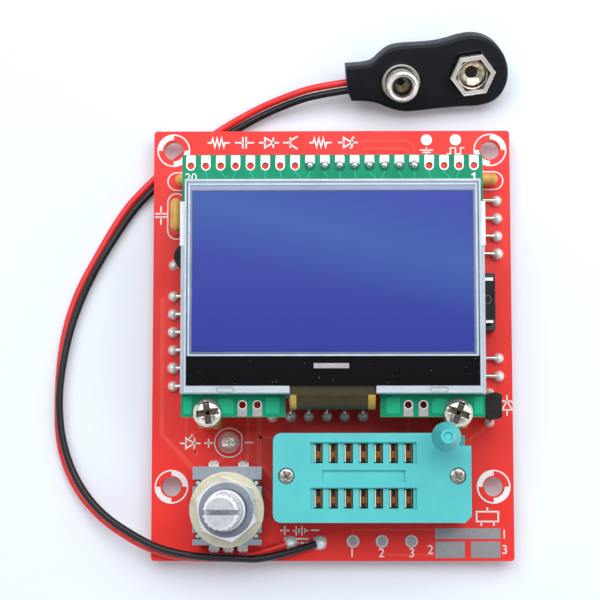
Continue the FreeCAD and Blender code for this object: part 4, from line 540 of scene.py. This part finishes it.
SOFT_EDGES = {
    "zif_cover": 0.18, "zif_base": 0.15, "lcd_backlight": 0.12, "small_transistors": 0.25, "microcontroller": 0.2,
    "crystal": 0.3, "snap_socket": 0.15, "encoder_nut": 0.12, "encoder_washer": 0.12,
    "encoder_bracket": 0.12, "electrolytic_capacitors": 0.3,
}


def make_camera():
    """The camera stands almost straight above the near half of the board."""
    data = bpy.data.cameras.new("camera")
    data.sensor_width = 36.0
    data.lens = 102.0043
    data.clip_start = 0.01
    camera = new_object("camera", data)
    camera.location = Vector((-2.2839, -21.9083, 304.2)) * MM
    camera.rotation_euler = [math.radians(angle) for angle in (5.63978, 0.648896, -0.0187468)]
    bpy.context.scene.camera = camera


def make_wire(name, node, route, slot):
    """One battery wire, a smooth round cord along its route to the snap."""
    curve = bpy.data.curves.new(name, "CURVE")
    curve.dimensions = "3D"
    curve.resolution_u = 16
    curve.bevel_depth = WIRE_DIAMETER / 2 * MM
    curve.bevel_resolution = 6
    curve.use_fill_caps = True
    spline = curve.splines.new("NURBS")
    spline.points.add(len(route) - 1)
    for point, place in zip(spline.points, route):
        point.co = (*[value * MM for value in place], 1.0)
    spline.order_u = 3
    spline.use_endpoint_u = True
    curve.materials.append(FINISHES[slot])
    wire = new_object(name, curve)
    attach(wire, "tester")
    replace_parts(wire, node)


def rectangle(left, near, right, far):
    """The corners of a rectangle, anticlockwise."""
    return [(left, near), (right, near), (right, far), (left, far)]


def pill(x, y, half_length, half_width, turn=0):
    """The outline of a slot with round ends, as a closed route."""
    straight = half_length - half_width
    steps = 12
    route = []
    for side in (1, -1):
        for index in range(steps + 1):
            angle = math.radians(180 * index / steps - 90)
            route.append(Vector(around(straight * side, 0, half_width * side, angle)))
    spin = Matrix.Rotation(math.radians(turn), 2)
    return [tuple(spin @ spot + Vector((x, y))) for spot in route]


def draw(forms, lines, x, y, width, turn=0):
    """Strokes of a small sign, drawn about its middle."""
    spin = Matrix.Rotation(math.radians(turn), 2)
    for line in lines:
        spots = list(zip(line[::2], line[1::2]))
        closed = spots[0] == spots[-1]
        route = [tuple(spin @ Vector(spot) + Vector((x, y))) for spot in spots]
        forms.stroke(route[:-1] if closed else route, width, closed)


# Plain circuit signs, as strokes about their middle: x and y of each point in turn, in millimetres
RESISTOR_SIGN = [
    (-2.0, 0, -1.3, 0, -1.1, 0.75, -0.7, -0.75, -0.3, 0.75, 0.1, -0.75, 0.5, 0.75, 0.9, -0.75, 1.1, 0, 2.0, 0),
]
CAPACITOR_SIGN = [(-1.7, 0, -0.3, 0), (-0.3, -1.05, -0.3, 1.05), (0.3, -1.05, 0.3, 1.05), (0.3, 0, 1.7, 0)]
DIODE_SIGN = [
    (-1.8, 0, -0.75, 0), (-0.75, -0.9, 0.75, 0, -0.75, 0.9, -0.75, -0.9), (0.75, -0.95, 0.75, 0.95),
    (0.75, 0, 1.8, 0),
]
ZENER_SIGN = [*DIODE_SIGN[:2], (0.4, -1.05, 0.75, -0.75, 0.75, 0.75, 1.1, 1.05), DIODE_SIGN[3]]
TRANSISTOR_SIGN = [
    (-1.7, 0, -0.4, 0), (-0.4, -0.95, -0.4, 0.95), (-0.4, 0.35, 0.9, 1.15), (-0.4, -0.35, 0.9, -1.15),
]
GROUND_SIGN = [(0, 0.6, 0, 0.1), (-1.2, 0.1, 1.2, 0.1), (-0.75, -0.3, 0.75, -0.3), (-0.3, -0.7, 0.3, -0.7)]
PULSE_SIGN = [(-1.6, -0.55, -0.9, -0.55, -0.9, 0.55, 0, 0.55, 0, -0.55, 0.9, -0.55, 0.9, 0.55, 1.6, 0.55)]
BATTERY_SIGN = [
    (-1.4, 0, -0.75, 0), (-0.75, -0.8, -0.75, 0.8), (-0.25, -0.4, -0.25, 0.4), (0.25, -0.8, 0.25, 0.8),
    (0.75, -0.4, 0.75, 0.4), (0.75, 0, 1.4, 0),
]
DIRECT_SIGN = [
    (-1.2, 0.35, 1.2, 0.35), (-1.2, -0.35, -0.6, -0.35), (-0.3, -0.35, 0.3, -0.35), (0.6, -0.35, 1.2, -0.35),
]
LAMP_ARROWS = [(-0.2, 1.15, 0.5, 1.85), (0.15, 1.8, 0.5, 1.85, 0.45, 1.5)]
PLUS_SIGN = [(-0.8, 0, 0.8, 0), (0, -0.8, 0, 0.8)]
MINUS_SIGN = [(-0.75, 0, 0.75, 0)]
CHIP_SIGN = [
    (-1.9, -0.85, 1.9, -0.85, 1.9, 0.85, -1.9, 0.85, -1.9, -0.85),
    (-1.1, -0.85, -1.1, -1.6), (1.1, -0.85, 1.1, -1.6), (0, 0.85, 0, 1.6),
]

# Signs on the red board: place, width of the line, and turn if any
TOP_SIGNS = [(RESISTOR_SIGN, -20.2), (CAPACITOR_SIGN, -15.6), (DIODE_SIGN, -11.2), (TRANSISTOR_SIGN, -7),
             (RESISTOR_SIGN, -2), (ZENER_SIGN, 2.9)]
BOARD_SIGNS = [(sign, x, 36.0, 0.3) for sign, x in TOP_SIGNS] + [
    (GROUND_SIGN, 16.94, 34.5, 0.24), (PULSE_SIGN, 22.11, 34.45, 0.24), (CAPACITOR_SIGN, -30.45, 22.9, 0.28, 90),
    (DIODE_SIGN, -25, -17.6, 0.28), (LAMP_ARROWS, -25, -17.9, 0.2), (PLUS_SIGN, -21.75, -17.55, 0.26),
    (MINUS_SIGN, -14.65, -17.46, 0.26), (PLUS_SIGN, -8.35, -32.8, 0.26), (MINUS_SIGN, -3.05, -32.75, 0.26),
    (BATTERY_SIGN, -5.6, -32.85, 0.24), (DIRECT_SIGN, -5.3, -34.6, 0.26), (CHIP_SIGN, 27.1, -30.4, 0.26),
    (ZENER_SIGN, 30.75, -11.0, 0.24, 90),
]


def make_board_printing():
    """White marks on the red board: rings, outlines, signs and plain numbers."""
    number_height = 1.6
    capacitor_half = 1.6
    capacitor_line, lamp_line, resistor_line = (0.22, 0.2, 0.18)
    inner, middle, outer = HOLE_RING_RADII
    ink = Forms(BOARD_TOP, PRINT_HEIGHT)
    for x, y, start in MOUNT_HOLES:
        ink.ring(x, y, middle, outer)
        for half in (0, FULL_TURN / 2):
            ink.ring(x, y, inner, middle, start + half, FULL_TURN / 4)
    for sign in BOARD_SIGNS:
        draw(ink, *sign)
    for number in BOARD_NUMBERS:
        ink.text(*number, number_height)
    for x, y, half_length, turn in CAPACITOR_OUTLINES:
        ink.stroke(pill(x, y, half_length, capacitor_half, turn), capacitor_line, closed=True)
    arc = [around(*LED_PLACE, LED_RING_RADIUS, math.radians(angle)) for angle in range(30, 331, 10)]
    ink.stroke(arc, lamp_line, closed=True)
    for joints, left, right in ((LEFT_JOINTS, -25.2, -18.3), (RIGHT_FAR_JOINTS, 19.5, 26.4)):
        for _, y in joints:
            ink.stroke(rectangle(left, y - RESISTOR_HALF, right, y + RESISTOR_HALF), resistor_line, closed=True)
    ink.make("board_printing", "white_ink")


def make_board_pads():
    """Tinned pads on the upper face of the red board, with proud rims round the points."""
    tin = Forms(BOARD_TOP, PAD_HEIGHT)
    grey = Forms(BOARD_TOP, PAD_HEIGHT)
    kinds = [(grey, TEST_POINTS, TEST_POINT_RADII, TEST_FIELDS),
             (tin, PROBE_POINTS, PROBE_POINT_RADII, LEAD_FIELDS)]
    for forms, points, (inner, _), fields in kinds:
        for place in points:
            forms.disc(*place, inner)
        for corners in fields:
            forms.prism(rectangle(*corners))
    tin.stand(BOARD_TOP, PAD_HEIGHT + PAD_RIM)
    for _, points, radii, _ in kinds:
        for place in points:
            tin.ring(*place, *radii)
    grey.make("test_pads", "grey_pad")
    tin.make("board_pads", "tinned_pad")


def make_board_tracks():
    """Copper tracks that show through the mask of the red board, on its upper face."""
    copper = Forms(BOARD_TOP, TRACK_HEIGHT)
    routes = [
        (0.8, [(-30.05, 8), (-30.05, -16), (-24.3, -22.1), (-21.4, -25)]),
        (0.35, [(-25.67, -6), (-25.67, -16.8), (-24.1, -19.2)]),
        (0.55, [(-14.87, -8), (-14.87, -21.4)]),
        (0.9, [(-12.85, -8), (-12.85, -21), (-10.3, -23.7), (-8, -26)]),
        (0.45, [(-12.85, -16.57), (-8, -16.57)]),
        (0.9, [(-12.9, -24.9), (-9, -28.8)]),
        (0.4, [(-18.8, -19.8), (-20.8, -21.8)]),
        (0.5, [(21, -18.9), (26, -15.6), (27.7, -13.9)]),
        (0.55, [(13.42, -6), (13.42, -17)]),
        (0.35, [TEST_POINTS[0], (3.58, -32.66), (17.92, -32.66)]),
        (0.35, [TEST_POINTS[1], (8.65, -36.2), (9.45, -37), (18.1, -37.05)]),
        (0.35, [(5.4, 36.28), (13.66, 36.28), (14.7, 35.2), (14.7, 22)]),
        (0.35, [(5.4, 34.88), (13.15, 34.88), (14.1, 33.9), (14.1, 24)]),
    ]
    width, start, bend, spread, drop = (0.3, -17.9, -14.0, 0.6, 3.0)
    for index, (_, y) in enumerate(LEFT_JOINTS):
        x = bend + spread * index
        routes.append((width, [(start, y), (x, y), (x + drop, y - drop), (x + drop, y - 2 * drop)]))
    for width, route in routes:
        copper.stroke(route, width)
    copper.ring(-24.0, -19.35, inner=0.18, outer=0.45)
    copper.make("board_tracks", "red_track")


def pad_x(number):
    """Where a numbered pad of the display board stands; the numbers run leftwards."""
    return PAD_PITCH * ((PAD_COUNT + 1) / 2 - number)


def display_pad(forms, x, y, edge_y):
    """A pad with a round end about its hole, which runs out to the edge of the board."""
    hole = []
    rim = []
    side = 1 if edge_y > y else -1
    for angle in round_angles():
        across = math.cos(angle)
        along = math.sin(angle)
        reach = PAD_HALF_WIDTH
        if along * side > 0:
            reach = min(PAD_HALF_WIDTH / max(abs(across), 1e-6), (edge_y - y) / along)
        hole.append(around(x, y, PAD_HOLE_RADIUS, angle))
        rim.append(around(x, y, reach, angle))
    forms.band(hole, rim, closed=True)


def make_display_details():
    """Pads, tracks and numbers on the display board."""
    tin = Forms(DISPLAY_TOP, PAD_HEIGHT)
    copper = Forms(DISPLAY_TOP, TRACK_HEIGHT)
    for number in range(1, PAD_COUNT + 1):
        x = pad_x(number)
        display_pad(tin, x, PAD_ROW, DISPLAY_FAR - PAD_INSET)
        if 1 < number < PAD_COUNT:
            aside = x + TRACK_SHIFTS[number % len(TRACK_SHIFTS)]
            copper.stroke(zip((x, x, aside, aside), TRACK_BENDS), PAD_TRACK_WIDTH)
    grey = Forms(DISPLAY_TOP, PAD_HEIGHT)
    tin.stand(DISPLAY_TOP, PAD_HEIGHT + SPARE_PAD_RIM)
    for x in SPARE_PADS:
        display_pad(grey, x, SPARE_PAD_ROW, DISPLAY_NEAR + PAD_INSET)
        tin.ring(x, SPARE_PAD_ROW, PAD_HOLE_RADIUS, SPARE_PAD_RADIUS)
    tin.make("display_pads", "tinned_pad")
    grey.make("spare_pads", "grey_pad")
    for outline in COPPER_FIELDS:
        copper.prism(outline)
        copper.prism([(-x, y) for x, y in reversed(outline)])
    copper.make("display_tracks", "green_track")
    ink = Forms(DISPLAY_TOP, PRINT_HEIGHT)
    first_number = [(23.72, 27.72), (24.2, 28.02), (24.2, 26.6)]
    last_place = (-24.1, 27.3)
    number_line = 0.3
    number_height = 1.5
    ink.text(str(PAD_COUNT), *last_place, number_height)
    ink.stroke(first_number, number_line)
    ink.make("display_printing", "white_ink")


def snap_turn():
    """How the battery snap is turned and tilted."""
    return Matrix.Rotation(math.radians(SNAP_TURN), 4, "Z") @ Matrix.Rotation(math.radians(SNAP_TILT), 4, "X")


def make_snap_contacts():
    """Rolled rims of the two snap contacts, their dark dished insides drawn as painted shade, and dark discs
    in their middles as painted shade down the holes.
    """
    rims = Forms()
    dishes = Forms()
    holes = Forms()
    turn = snap_turn().to_3x3()
    stud, socket = [Vector(SNAP_PLACE) + turn @ Vector((x, 0, 0)) for x in (-CONTACT_REACH, CONTACT_REACH)]
    stud_rim = [(2.78, 5.5), (2.86, 5.85), (2.72, 6.15), (2.42, 6.28), (2.08, 6.15), (1.95, 5.85), (1.95, 5.5)]
    stud_foot = [(3.38, 2.9), (3.42, 3.5), (3.25, 3.75), (3.02, 3.5), (2.98, 2.9)]
    stud_dish = [(1.6, 2.6), (1.86, 2.6), (1.86, 5.6), (1.76, 5.6), (1.7, 4.3), (1.2, 3.3), (0.7, 2.9)]
    stud_hole = [(0.75, 2.5), (0.75, 2.86), (0.55, 2.9)]
    socket_rim = [(4.06, 4.9), (4.08, 5.5), (3.97, 5.68), (3.8, 5.66), (3.7, 5.4), (3.58, 5.38), (3.5, 5.58),
                  (3.34, 5.56), (3.1, 4.9)]
    socket_dish = [(1.5, 2.6), (2.6, 2.6), (2.64, 4.9), (2.45, 4.8), (2.3, 3.8), (1.6, 3.1), (0.8, 2.85)]
    socket_hole = [(1.15, 2.5), (1.15, 2.95), (0.9, 3)]
    rims.lathe(stud, stud_rim, hollow=True, turn=turn)
    rims.lathe(stud, stud_foot, hollow=True, turn=turn)
    rims.lathe(socket, socket_rim, hollow=True, turn=turn, steps=HEXAGON_SIDES)
    dishes.lathe(stud, stud_dish, hollow=True, turn=turn)
    dishes.lathe(socket, socket_dish, hollow=True, turn=turn)
    # Dark discs down the middles of the contacts: painted shade in the holes.
    holes.lathe(stud, stud_hole, turn=turn)
    holes.lathe(socket, socket_hole, turn=turn)
    return [rims.make("snap_rims", "rim_nickel"),
            dishes.make("snap_dishes", "painted_shade_nickel"),
            holes.make("snap_hole_shade", "painted_hole_shade")]


def add_loop(curve, places, handles):
    """A closed loop of a flat curve through places, each smooth or a corner."""
    loop = curve.splines.new("BEZIER")
    loop.bezier_points.add(len(places) - 1)
    for point, place, handle in zip(loop.bezier_points, places, handles):
        point.co = (*[value * MM for value in place], 0)
        point.handle_left_type = handle
        point.handle_right_type = handle
    loop.use_cyclic_u = True
    return loop


def make_snap_cover():
    """The soft cover of the battery snap: two lobes, a waist and a frayed tail, with rounded edges."""
    outline = [
        (-15.85, 2.8), (-15.9, 1.2), (-15.85, -0.6), (-15.5, -2.1), (-13.5, -2.45), (-11.3, -3.1),
        (-9, -4.4), (-6.6, -5.4), (-4.1, -5.7), (-0.6, -5.8), (3.4, -6.05), (8.2, -6.3), (10.4, -5.6),
        (12.1, -3.7), (12.85, -1.4), (12.7, 1.3), (11.6, 3.8), (9.8, 5.6), (7.6, 6.5), (5, 6.6),
        (2.2, 6.2), (0, 6.1), (-3, 6.3), (-5.2, 6.5), (-7.6, 6.35), (-9.4, 5.4), (-11, 4.3),
        (-12.4, 4.1), (-14, 4.15), (-15.75, 4.3),
    ]
    corners = [(-15.75, 4.3), (-15.5, -2.1)]
    rounding = 0.55
    thickness = 3.6
    openings = [(-CONTACT_REACH, 3.4, 4, "AUTO"), (CONTACT_REACH, 4.12, HEXAGON_SIDES, "VECTOR")]
    curve = bpy.data.curves.new("snap_skin", "CURVE")
    curve.dimensions = "2D"
    curve.fill_mode = "BOTH"
    curve.extrude = (thickness / 2 - rounding) * MM
    curve.bevel_depth = rounding * MM
    curve.bevel_resolution = 3
    curve.offset = -rounding * MM
    curve.resolution_u = 5
    add_loop(curve, outline, ["VECTOR" if spot in corners else "AUTO" for spot in outline])
    for x, radius, sides, handle in openings:
        hole = add_loop(curve, [around(x, 0, radius, angle) for angle in round_angles(sides)], [handle] * sides)
        hole.resolution_u = 12
    mesh = settled_mesh("snap_shape", curve)
    mesh.transform(Matrix.Translation(Vector(SNAP_PLACE) * MM) @ snap_turn()
                   @ Matrix.Translation((0, 0, thickness / 2 * MM)))
    smooth_shade(mesh, FINISHES["black_vinyl"], SHARP_ANGLE)
    skin = new_object("snap_skin", mesh)
    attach(skin, "tester")
    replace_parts(skin, "snap_cover")
    return skin


def screw_head(forms, place, radius, height, arm, reach, depth, turn):
    """A domed screw head with a cross recess that has slanting walls."""
    x, y, base = place
    rings = 22
    steps = 96
    slope = 0.28
    rim_drop = 0.45
    points = [(x, y, base + height - depth)]
    faces = []
    for ring in range(1, rings + 1):
        out = radius * ring / rings
        for angle in round_angles(steps):
            along = abs(out * math.cos(angle - turn))
            aside = abs(out * math.sin(angle - turn))
            inside = max(min((arm - aside) / slope, (reach - along) / slope, 1),
                         min((arm - along) / slope, (reach - aside) / slope, 1), 0)
            dome = height * (1 - rim_drop * (out / radius) ** 4)
            points.append((*around(x, y, out, angle), base + dome - depth * inside))
    points += [(*around(x, y, radius, angle), base) for angle in round_angles(steps)]
    for step in range(steps):
        after = (step + 1) % steps
        faces.append([0, 1 + step, 1 + after])
        for ring in range(rings):
            low = 1 + ring * steps
            faces.append([low + step, low + steps + step, low + steps + after, low + after])
    faces.append(list(range(len(points) - 1, len(points) - 1 - steps, -1)))
    forms.add(points, faces)


def make_screw_heads():
    """Domed heads with cross recesses on the display board and on the test socket; painted shade lies in the
    recesses of the display screws.
    """
    recess_level = DISPLAY_TOP + 0.35
    recess_depth = 0.17
    recess_reach = 1.5
    recess_width = 0.62
    heads = Forms()
    # Dark plates low in the cross recesses of the display screws: painted shade.
    painted_shade_plates = Forms(recess_level, recess_depth)
    for x, y, turn in DISPLAY_SCREWS:
        screw_head(heads, (x, y, DISPLAY_TOP), radius=2.45, height=1.75, arm=0.55, reach=1.9, depth=1.3, turn=turn)
        for angle in (turn, turn + math.pi / 2):
            painted_shade_plates.stroke([around(x, y, end, angle) for end in (-recess_reach, recess_reach)], recess_width)
    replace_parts(heads.make("display_screw_heads", "screw_bright", smooth=50), "lcd_screws")
    painted_shade_plates.make("display_screw_recess_shade", "painted_recess_shade")
    small = Forms()
    for x in ZIF_SCREWS:
        screw_head(small, (x, ZIF_MIDDLE_Y, ZIF_SCREW_LEVEL), radius=1.38, height=0.45, arm=0.28, reach=0.85,
                   depth=0.32, turn=0.6)
    small.make("socket_screw_heads", "screw_grey", smooth=50)


def make_solder_blobs():
    """Rounded solder on the upper sides of both boards; on the red board it is drawn near white, the tin's own
    grey lifted by painted reflection.
    """
    ball = [(0.98, 0), (1, 0.35), (0.95, 0.8), (0.8, 1.25), (0.55, 1.58), (0.25, 1.74), (0.05, 1.78)]
    cone = [(0.95, 0), (0.82, 0.2), (0.66, 0.45), (0.56, 0.7), (0.4, 0.9), (0.1, 0.98)]
    bead = [(0.52, 0), (0.54, 0.5), (0.5, 1), (0.36, 1.4), (0.16, 1.62), (0.04, 1.65)]
    bulge = [(1.28, 0), (1.24, 0.3), (1.05, 0.75), (0.75, 1.15), (0.38, 1.42), (0.05, 1.5)]
    bead_shift = 0.35
    widths = (0.92, 1.04)
    heights = (0.92, 1.06)
    leans = (-0.06, 0.06)
    steps = 32
    chance = random.Random(SEED)
    places = [(x, y, BOARD_TOP, ball) for x, y in SIDE_JOINTS + NEAR_JOINTS]
    places += [(x, y + PAD_PITCH * side, BOARD_TOP, cone) for x, y in TRANSISTOR_PLACES for side in (-1, 1)]
    places.append((*LONE_JOINT, BOARD_TOP, cone))
    for shift, y in ENCODER_TABS:
        places += [(ENCODER_AXIS[0] + shift + bead_shift * side, y, BOARD_TOP, bead) for side in (-1, 1)]
    for number in range(FIRST_SOLDERED_PAD, LAST_SOLDERED_PAD + 1):
        places.append((pad_x(number), PAD_ROW, DISPLAY_TOP, cone))
    blobs = Forms()
    header = Forms()
    for x, y, base, shape in places:
        wide = chance.uniform(*widths)
        tall = chance.uniform(*heights)
        lean = (chance.uniform(*leans), chance.uniform(*leans), 1)
        forms = header if base == DISPLAY_TOP else blobs
        profile = [(radius * wide, z * tall) for radius, z in shape]
        forms.lathe((x, y, base), profile, turn=facing(lean), steps=steps)
    ends = Forms()
    for x, y, lean in LEAD_JOINTS:
        ends.lathe((x, y, BOARD_TOP), bulge, turn=facing(lean), steps=steps)
    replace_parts(blobs.make("solder_blobs", "bright_blob", smooth=60), "top_solder_fillets")
    header.make("header_blobs", "solder", smooth=60)
    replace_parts(ends.make("lead_blobs", "bright_blob", smooth=60), "lead_solder")


def make_lamp_details():
    """The metal posts and the little cup inside the clear lamp."""
    x, y = LED_PLACE
    foot = 5.3
    cup = [(0.35, 0), (0.4, 0.9), (0.78, 1.5), (0.82, 1.55), (0.62, 1.5), (0.3, 1.1), (0.05, 1.08)]
    cup_shift = 0.35
    post_left, post_right, post_half = (-1.1, -0.55, 0.25)
    metal = Forms(foot, height=1.5)
    metal.lathe((x + cup_shift, y, foot), cup, steps=24)
    metal.prism(rectangle(x + post_left, y - post_half, x + post_right, y + post_half))
    metal.make("lamp_posts", "nickel")


def make_display_trim():
    """Rims, tapes, clips and a silver bar on the display."""
    rim_corners = (-24.12, -3.22, 24.12, 25.6)
    glass_edge = [(-7.3, -9.3), (-24.72, -9.3), (-24.72, 26.2), (24.72, 26.2), (24.72, -9.3), (7.3, -9.3)]
    film_corners = (-23.68, -2.78, 23.68, 24.58)
    tape_fields = [(-25.75, 15.4, -24.98, 22.9), (24.98, 15.4, 25.75, 22.9)]
    clip_places = [(-17.9, -8.95), (17.7, -8.95)]
    bar_corners = (-3.2, -5.4, 2.7, -4.55)
    rim = Forms(GLASS_TOP, height=0.16)
    rim.stroke(rectangle(*rim_corners), width=0.26, closed=True)
    rim.stand(GLASS_TOP, height=0.1)
    rim.stroke(glass_edge, width=0.18)
    rim.make("display_rim", "pale_rim")
    edge = Forms(GLASS_TOP, height=0.16)
    edge.stroke(rectangle(*film_corners), width=0.16, closed=True)
    edge.make("film_edge", "dark_rim")
    tape = Forms(TAPE_LEVEL, height=0.17)
    for corners in tape_fields:
        tape.prism(rectangle(*corners))
    tape.make("display_tapes", "white_tape")
    clips = Forms(GLASS_TOP, height=0.14)
    for place in clip_places:
        clips.stroke(pill(*place, half_length=1.45, half_width=0.42), width=0.18, closed=True)
    clips.make("display_clips", "grey_plastic")
    bar = Forms(SHIELD_TOP, height=0.04)
    bar.prism(rectangle(*bar_corners))
    bar.make("shield_bar", "grey_pad")


def make_shield_dust():
    """Specks of dust on the black band of the display, clear of its silver bar."""
    across = (-23.8, 23.8)
    along = (-8.0, -3.8)
    along_at_bar = (-8.0, -5.8)
    bar_left, bar_right = (-3.6, 3.1)
    radii = (0.025, 0.05)
    speck = [(1, 0), (0.8, 0.03), (0.3, 0.05)]
    chance = random.Random(SEED)
    dust = Forms()
    for _ in range(DUST_COUNT):
        x = chance.uniform(*across)
        y = chance.uniform(*along)
        radius = chance.uniform(*radii)
        if bar_left < x < bar_right:
            y = chance.uniform(*along_at_bar)
        dust.lathe((x, y, SHIELD_TOP), [(radius * share, z) for share, z in speck], steps=8)
    dust.make("shield_dust", "white_tape")


def make_flex_details():
    """Bright ends of the curled amber film."""
    axis_y = -9.8
    axis_z = 18.35
    inner = 2.36
    outer = 2.4
    stations = 24
    ends = Forms()
    for left, right in ((-7.1, -6.1), (5.9, 7.1)):
        rings = []
        for station in range(stations + 1):
            angle = math.radians(90 + 180 * station / stations)
            corners = [(left, outer), (right, outer), (right, inner), (left, inner)]
            rings.append([(x, *around(axis_y, axis_z, reach, angle)) for x, reach in corners])
        ends.join(rings)
    ends.make("flex_ends", "yellow_film")


# Fillings of every test contact: finish, level, height, and corners about its middle
CONTACT_FILLINGS = {
    # The gaps are painted shade and the pale edges painted highlight; the tongues take the contacts' brown.
    "contact_gap_shade": ("painted_hole_shade", 12.3, 2.55, (-0.33, -1.42, 0.33, 1.42)),
    "contact_tongues": ("brown_metal", 12.4, 2.52, (-0.3, -0.75, 0.3, 0.35)),
    "contact_edge_highlights": ("painted_highlight_metal", 15.0, 0.24, (-0.64, -1.46, -0.46, 1.46)),
}


def make_socket_depths():
    """Painted shade in the gaps of the test contacts, their brown tongues, and painted highlight on their pale
    edges.
    """
    for name, (finish, level, height, corners) in CONTACT_FILLINGS.items():
        left, near, right, far = corners
        forms = Forms(level, height)
        for row in ZIF_ROWS:
            for x, y in in_row(ZIF_FIRST_X, row, ZIF_COLUMNS, step_x=PAD_PITCH):
                forms.prism(rectangle(x + left, y + near, x + right, y + far))
        forms.make(name, finish)


def make_bushing_thread():
    """The fine thread on the neck of the encoder, and painted shade in the notches of its frame."""
    foot = 13.2
    pitch = 0.6
    turns = 7
    neck, valley, crest = (3.44, 3.46, 3.6)
    mouth = [(3.52, 17.42), (3.36, 17.7), (3.1, 17.7), (3.1, 17.5)]
    notch_lefts = (-5.5, 4.5)
    notch_reach = 4.53
    notch_width = 1.0
    notch_half = 0.58
    profile = [(neck, foot)]
    for index in range(turns):
        z = foot + pitch * index
        profile += [(valley, z), (crest, z + pitch / 2)]
    thread = Forms()
    thread.lathe((*ENCODER_AXIS, 0), profile + mouth, hollow=True)
    thread.make("bushing_thread", "threaded_zinc")
    # Dark plates in the notches of the frame: painted shade.
    shades = Forms(NOTCH_LEVEL, height=0.03)
    for left in notch_lefts:
        for side in (-1, 1):
            x = ENCODER_AXIS[0] + left
            y = ENCODER_AXIS[1] + notch_reach * side
            shades.prism(rectangle(x, y - notch_half, x + notch_width, y + notch_half))
    shades.make("notch_painted_shade", "painted_recess_shade")


def make_chip_mark():
    """The shallow ring that marks the first lead of the processor."""
    mark = Forms(CHIP_TOP, height=0.03)
    mark.ring(*CHIP_MARK_PLACE, inner=0.62, outer=0.82)
    mark.make("chip_mark", "chip_mark")


def make_resistor_bands():
    """Coloured bands round the resistors."""
    level = BOARD_TOP + 1.35
    width = 0.42
    sunk = 0.05
    proud = 0.03
    starts = [(x, y, 1 if x < 0 else -1, 0) for x, y in SIDE_JOINTS]
    starts += [(x, y, 0, 1) for x, y in NEAR_JOINTS]
    for name, places in RESISTOR_BANDS.items():
        bands = Forms()
        for x, y, dx, dy in starts:
            for reach, radius in places:
                profile = rectangle(radius - sunk, 0.0, radius + proud, width)
                place = (x + reach * dx, y + reach * dy, level)
                bands.lathe(place, profile, hollow=True, turn=facing((dx, dy, 0)), steps=24)
        bands.make(name, name)


def make_underside():
    """Tracks on the lower face of the red board."""
    far, near = ZIF_ROWS
    socket_bend, socket_end = (-16.0, -8.0)
    side_runs = [(LEFT_JOINTS, -22, 3, 3, -8), (RIGHT_FAR_JOINTS, 24, -2, 2, 12)]
    ground = [(-30.6, -20), (-30.6, 27), (-24.2, 33.4), (22.2, 33.4), (30.6, 25), (30.6, -18)]
    copper = Forms(BOARD_UNDER - TRACK_HEIGHT, TRACK_HEIGHT)
    for column, (x, _) in enumerate(in_row(ZIF_FIRST_X, near, ZIF_COLUMNS, step_x=PAD_PITCH)):
        aside = x + PAD_PITCH / 2
        copper.stroke([(x, near), (x, far), (aside, socket_bend), (aside, socket_end - column)], width=0.5)
    for joints, bend, shift, rise, end in side_runs:
        for x, y in joints:
            copper.stroke([(x, y), (bend, y), (bend + shift, y + rise), (end, y + rise)], width=0.45)
    copper.stroke(ground, width=1.2)
    copper.make("underside_tracks", "red_track")


def light_path_share(tree):
    """One for the rays that see the background itself: camera, mirror and glass rays."""
    path = tree.nodes.new("ShaderNodeLightPath")
    total = path.outputs["Is Camera Ray"]
    for name in ("Is Glossy Ray", "Is Transmission Ray"):
        total = math_node(tree, "MAXIMUM", total, path.outputs[name])
    return total


def make_floor():
    """A plain white table that keeps the shadows."""
    half = 1.5
    tone = (232, 242, 252)
    roughness = (0.7, 0.7)
    glow_strength = 0.1
    tree, shader = surface("white_table", tone, tone, roughness, sheen=0.1, emission_color=srgb(250, 247, 255))
    glow = map_node(tree, light_path_share(tree), 0.0, glow_strength, 0.0, 1.0)
    feed(tree, shader, {"Emission Strength": glow})
    mesh = bpy.data.meshes.new("floor")
    mesh.from_pydata([(*corner, 0) for corner in rectangle(-half, -half, half, half)], [], [(0, 1, 2, 3)])
    mesh.materials.append(FINISHES["white_table"])
    new_object("floor", mesh)


def make_light():
    """A large soft box over the far edge, two weak ones over the near and right sides, and a pale room."""
    for name, place, size, power in (("key_light", (0.0, 0.25, 0.5), (0.75, 0.42), 3.3),
                                     ("near_fill", (-0.25, -0.45, 0.5), (0.5, 0.5), 0.45),
                                     ("right_fill", (0.42, 0.0, 0.4), (0.4, 0.4), 0.75)):
        data = bpy.data.lights.new(name, "AREA")
        data.shape = "RECTANGLE"
        data.size, data.size_y = size
        data.energy = power
        lamp = new_object(name, data)
        lamp.location = place
        lamp.rotation_euler = (-Vector(place)).to_track_quat("-Z", "Y").to_euler()
    world = bpy.data.worlds.new("room")
    world.use_nodes = True
    bpy.context.scene.world = world
    tree = world.node_tree
    height = split_node(tree, "ShaderNodeTexCoord", "Generated")["Z"]
    wall_tone = (1.0, 1.0, 1.0, 1.0)
    ceiling_tone = srgb(150, 154, 166)
    room_light = (0.19, 0.19, 0.21, 1.0)
    seen = mix_node(tree, map_node(tree, height, 0.0, 1.0, 0.3, 0.95), wall_tone, ceiling_tone)
    color = mix_node(tree, light_path_share(tree), room_light, seen)
    feed(tree, tree.nodes["Background"], {"Color": color})


bpy.context.scene.view_settings.view_transform = "Standard"
make_camera()
dress_nodes()
snap_pieces = [make_snap_cover(), *make_snap_contacts(), "snap_plate", "snap_stud", "snap_socket"]
make_wire("red_lead", "red_wire", RED_ROUTE, "red_insulation")
make_wire("black_lead", "black_wire", BLACK_ROUTE, "black_insulation")
make_board_printing()
make_board_pads()
make_board_tracks()
make_display_details()
make_screw_heads()
make_solder_blobs()
make_lamp_details()
make_display_trim()
make_shield_dust()
make_flex_details()
make_socket_depths()
make_bushing_thread()
make_chip_mark()
make_resistor_bands()
make_underside()
for name, width in SOFT_EDGES.items():
    soften(name, width)
make_floor()
make_light()
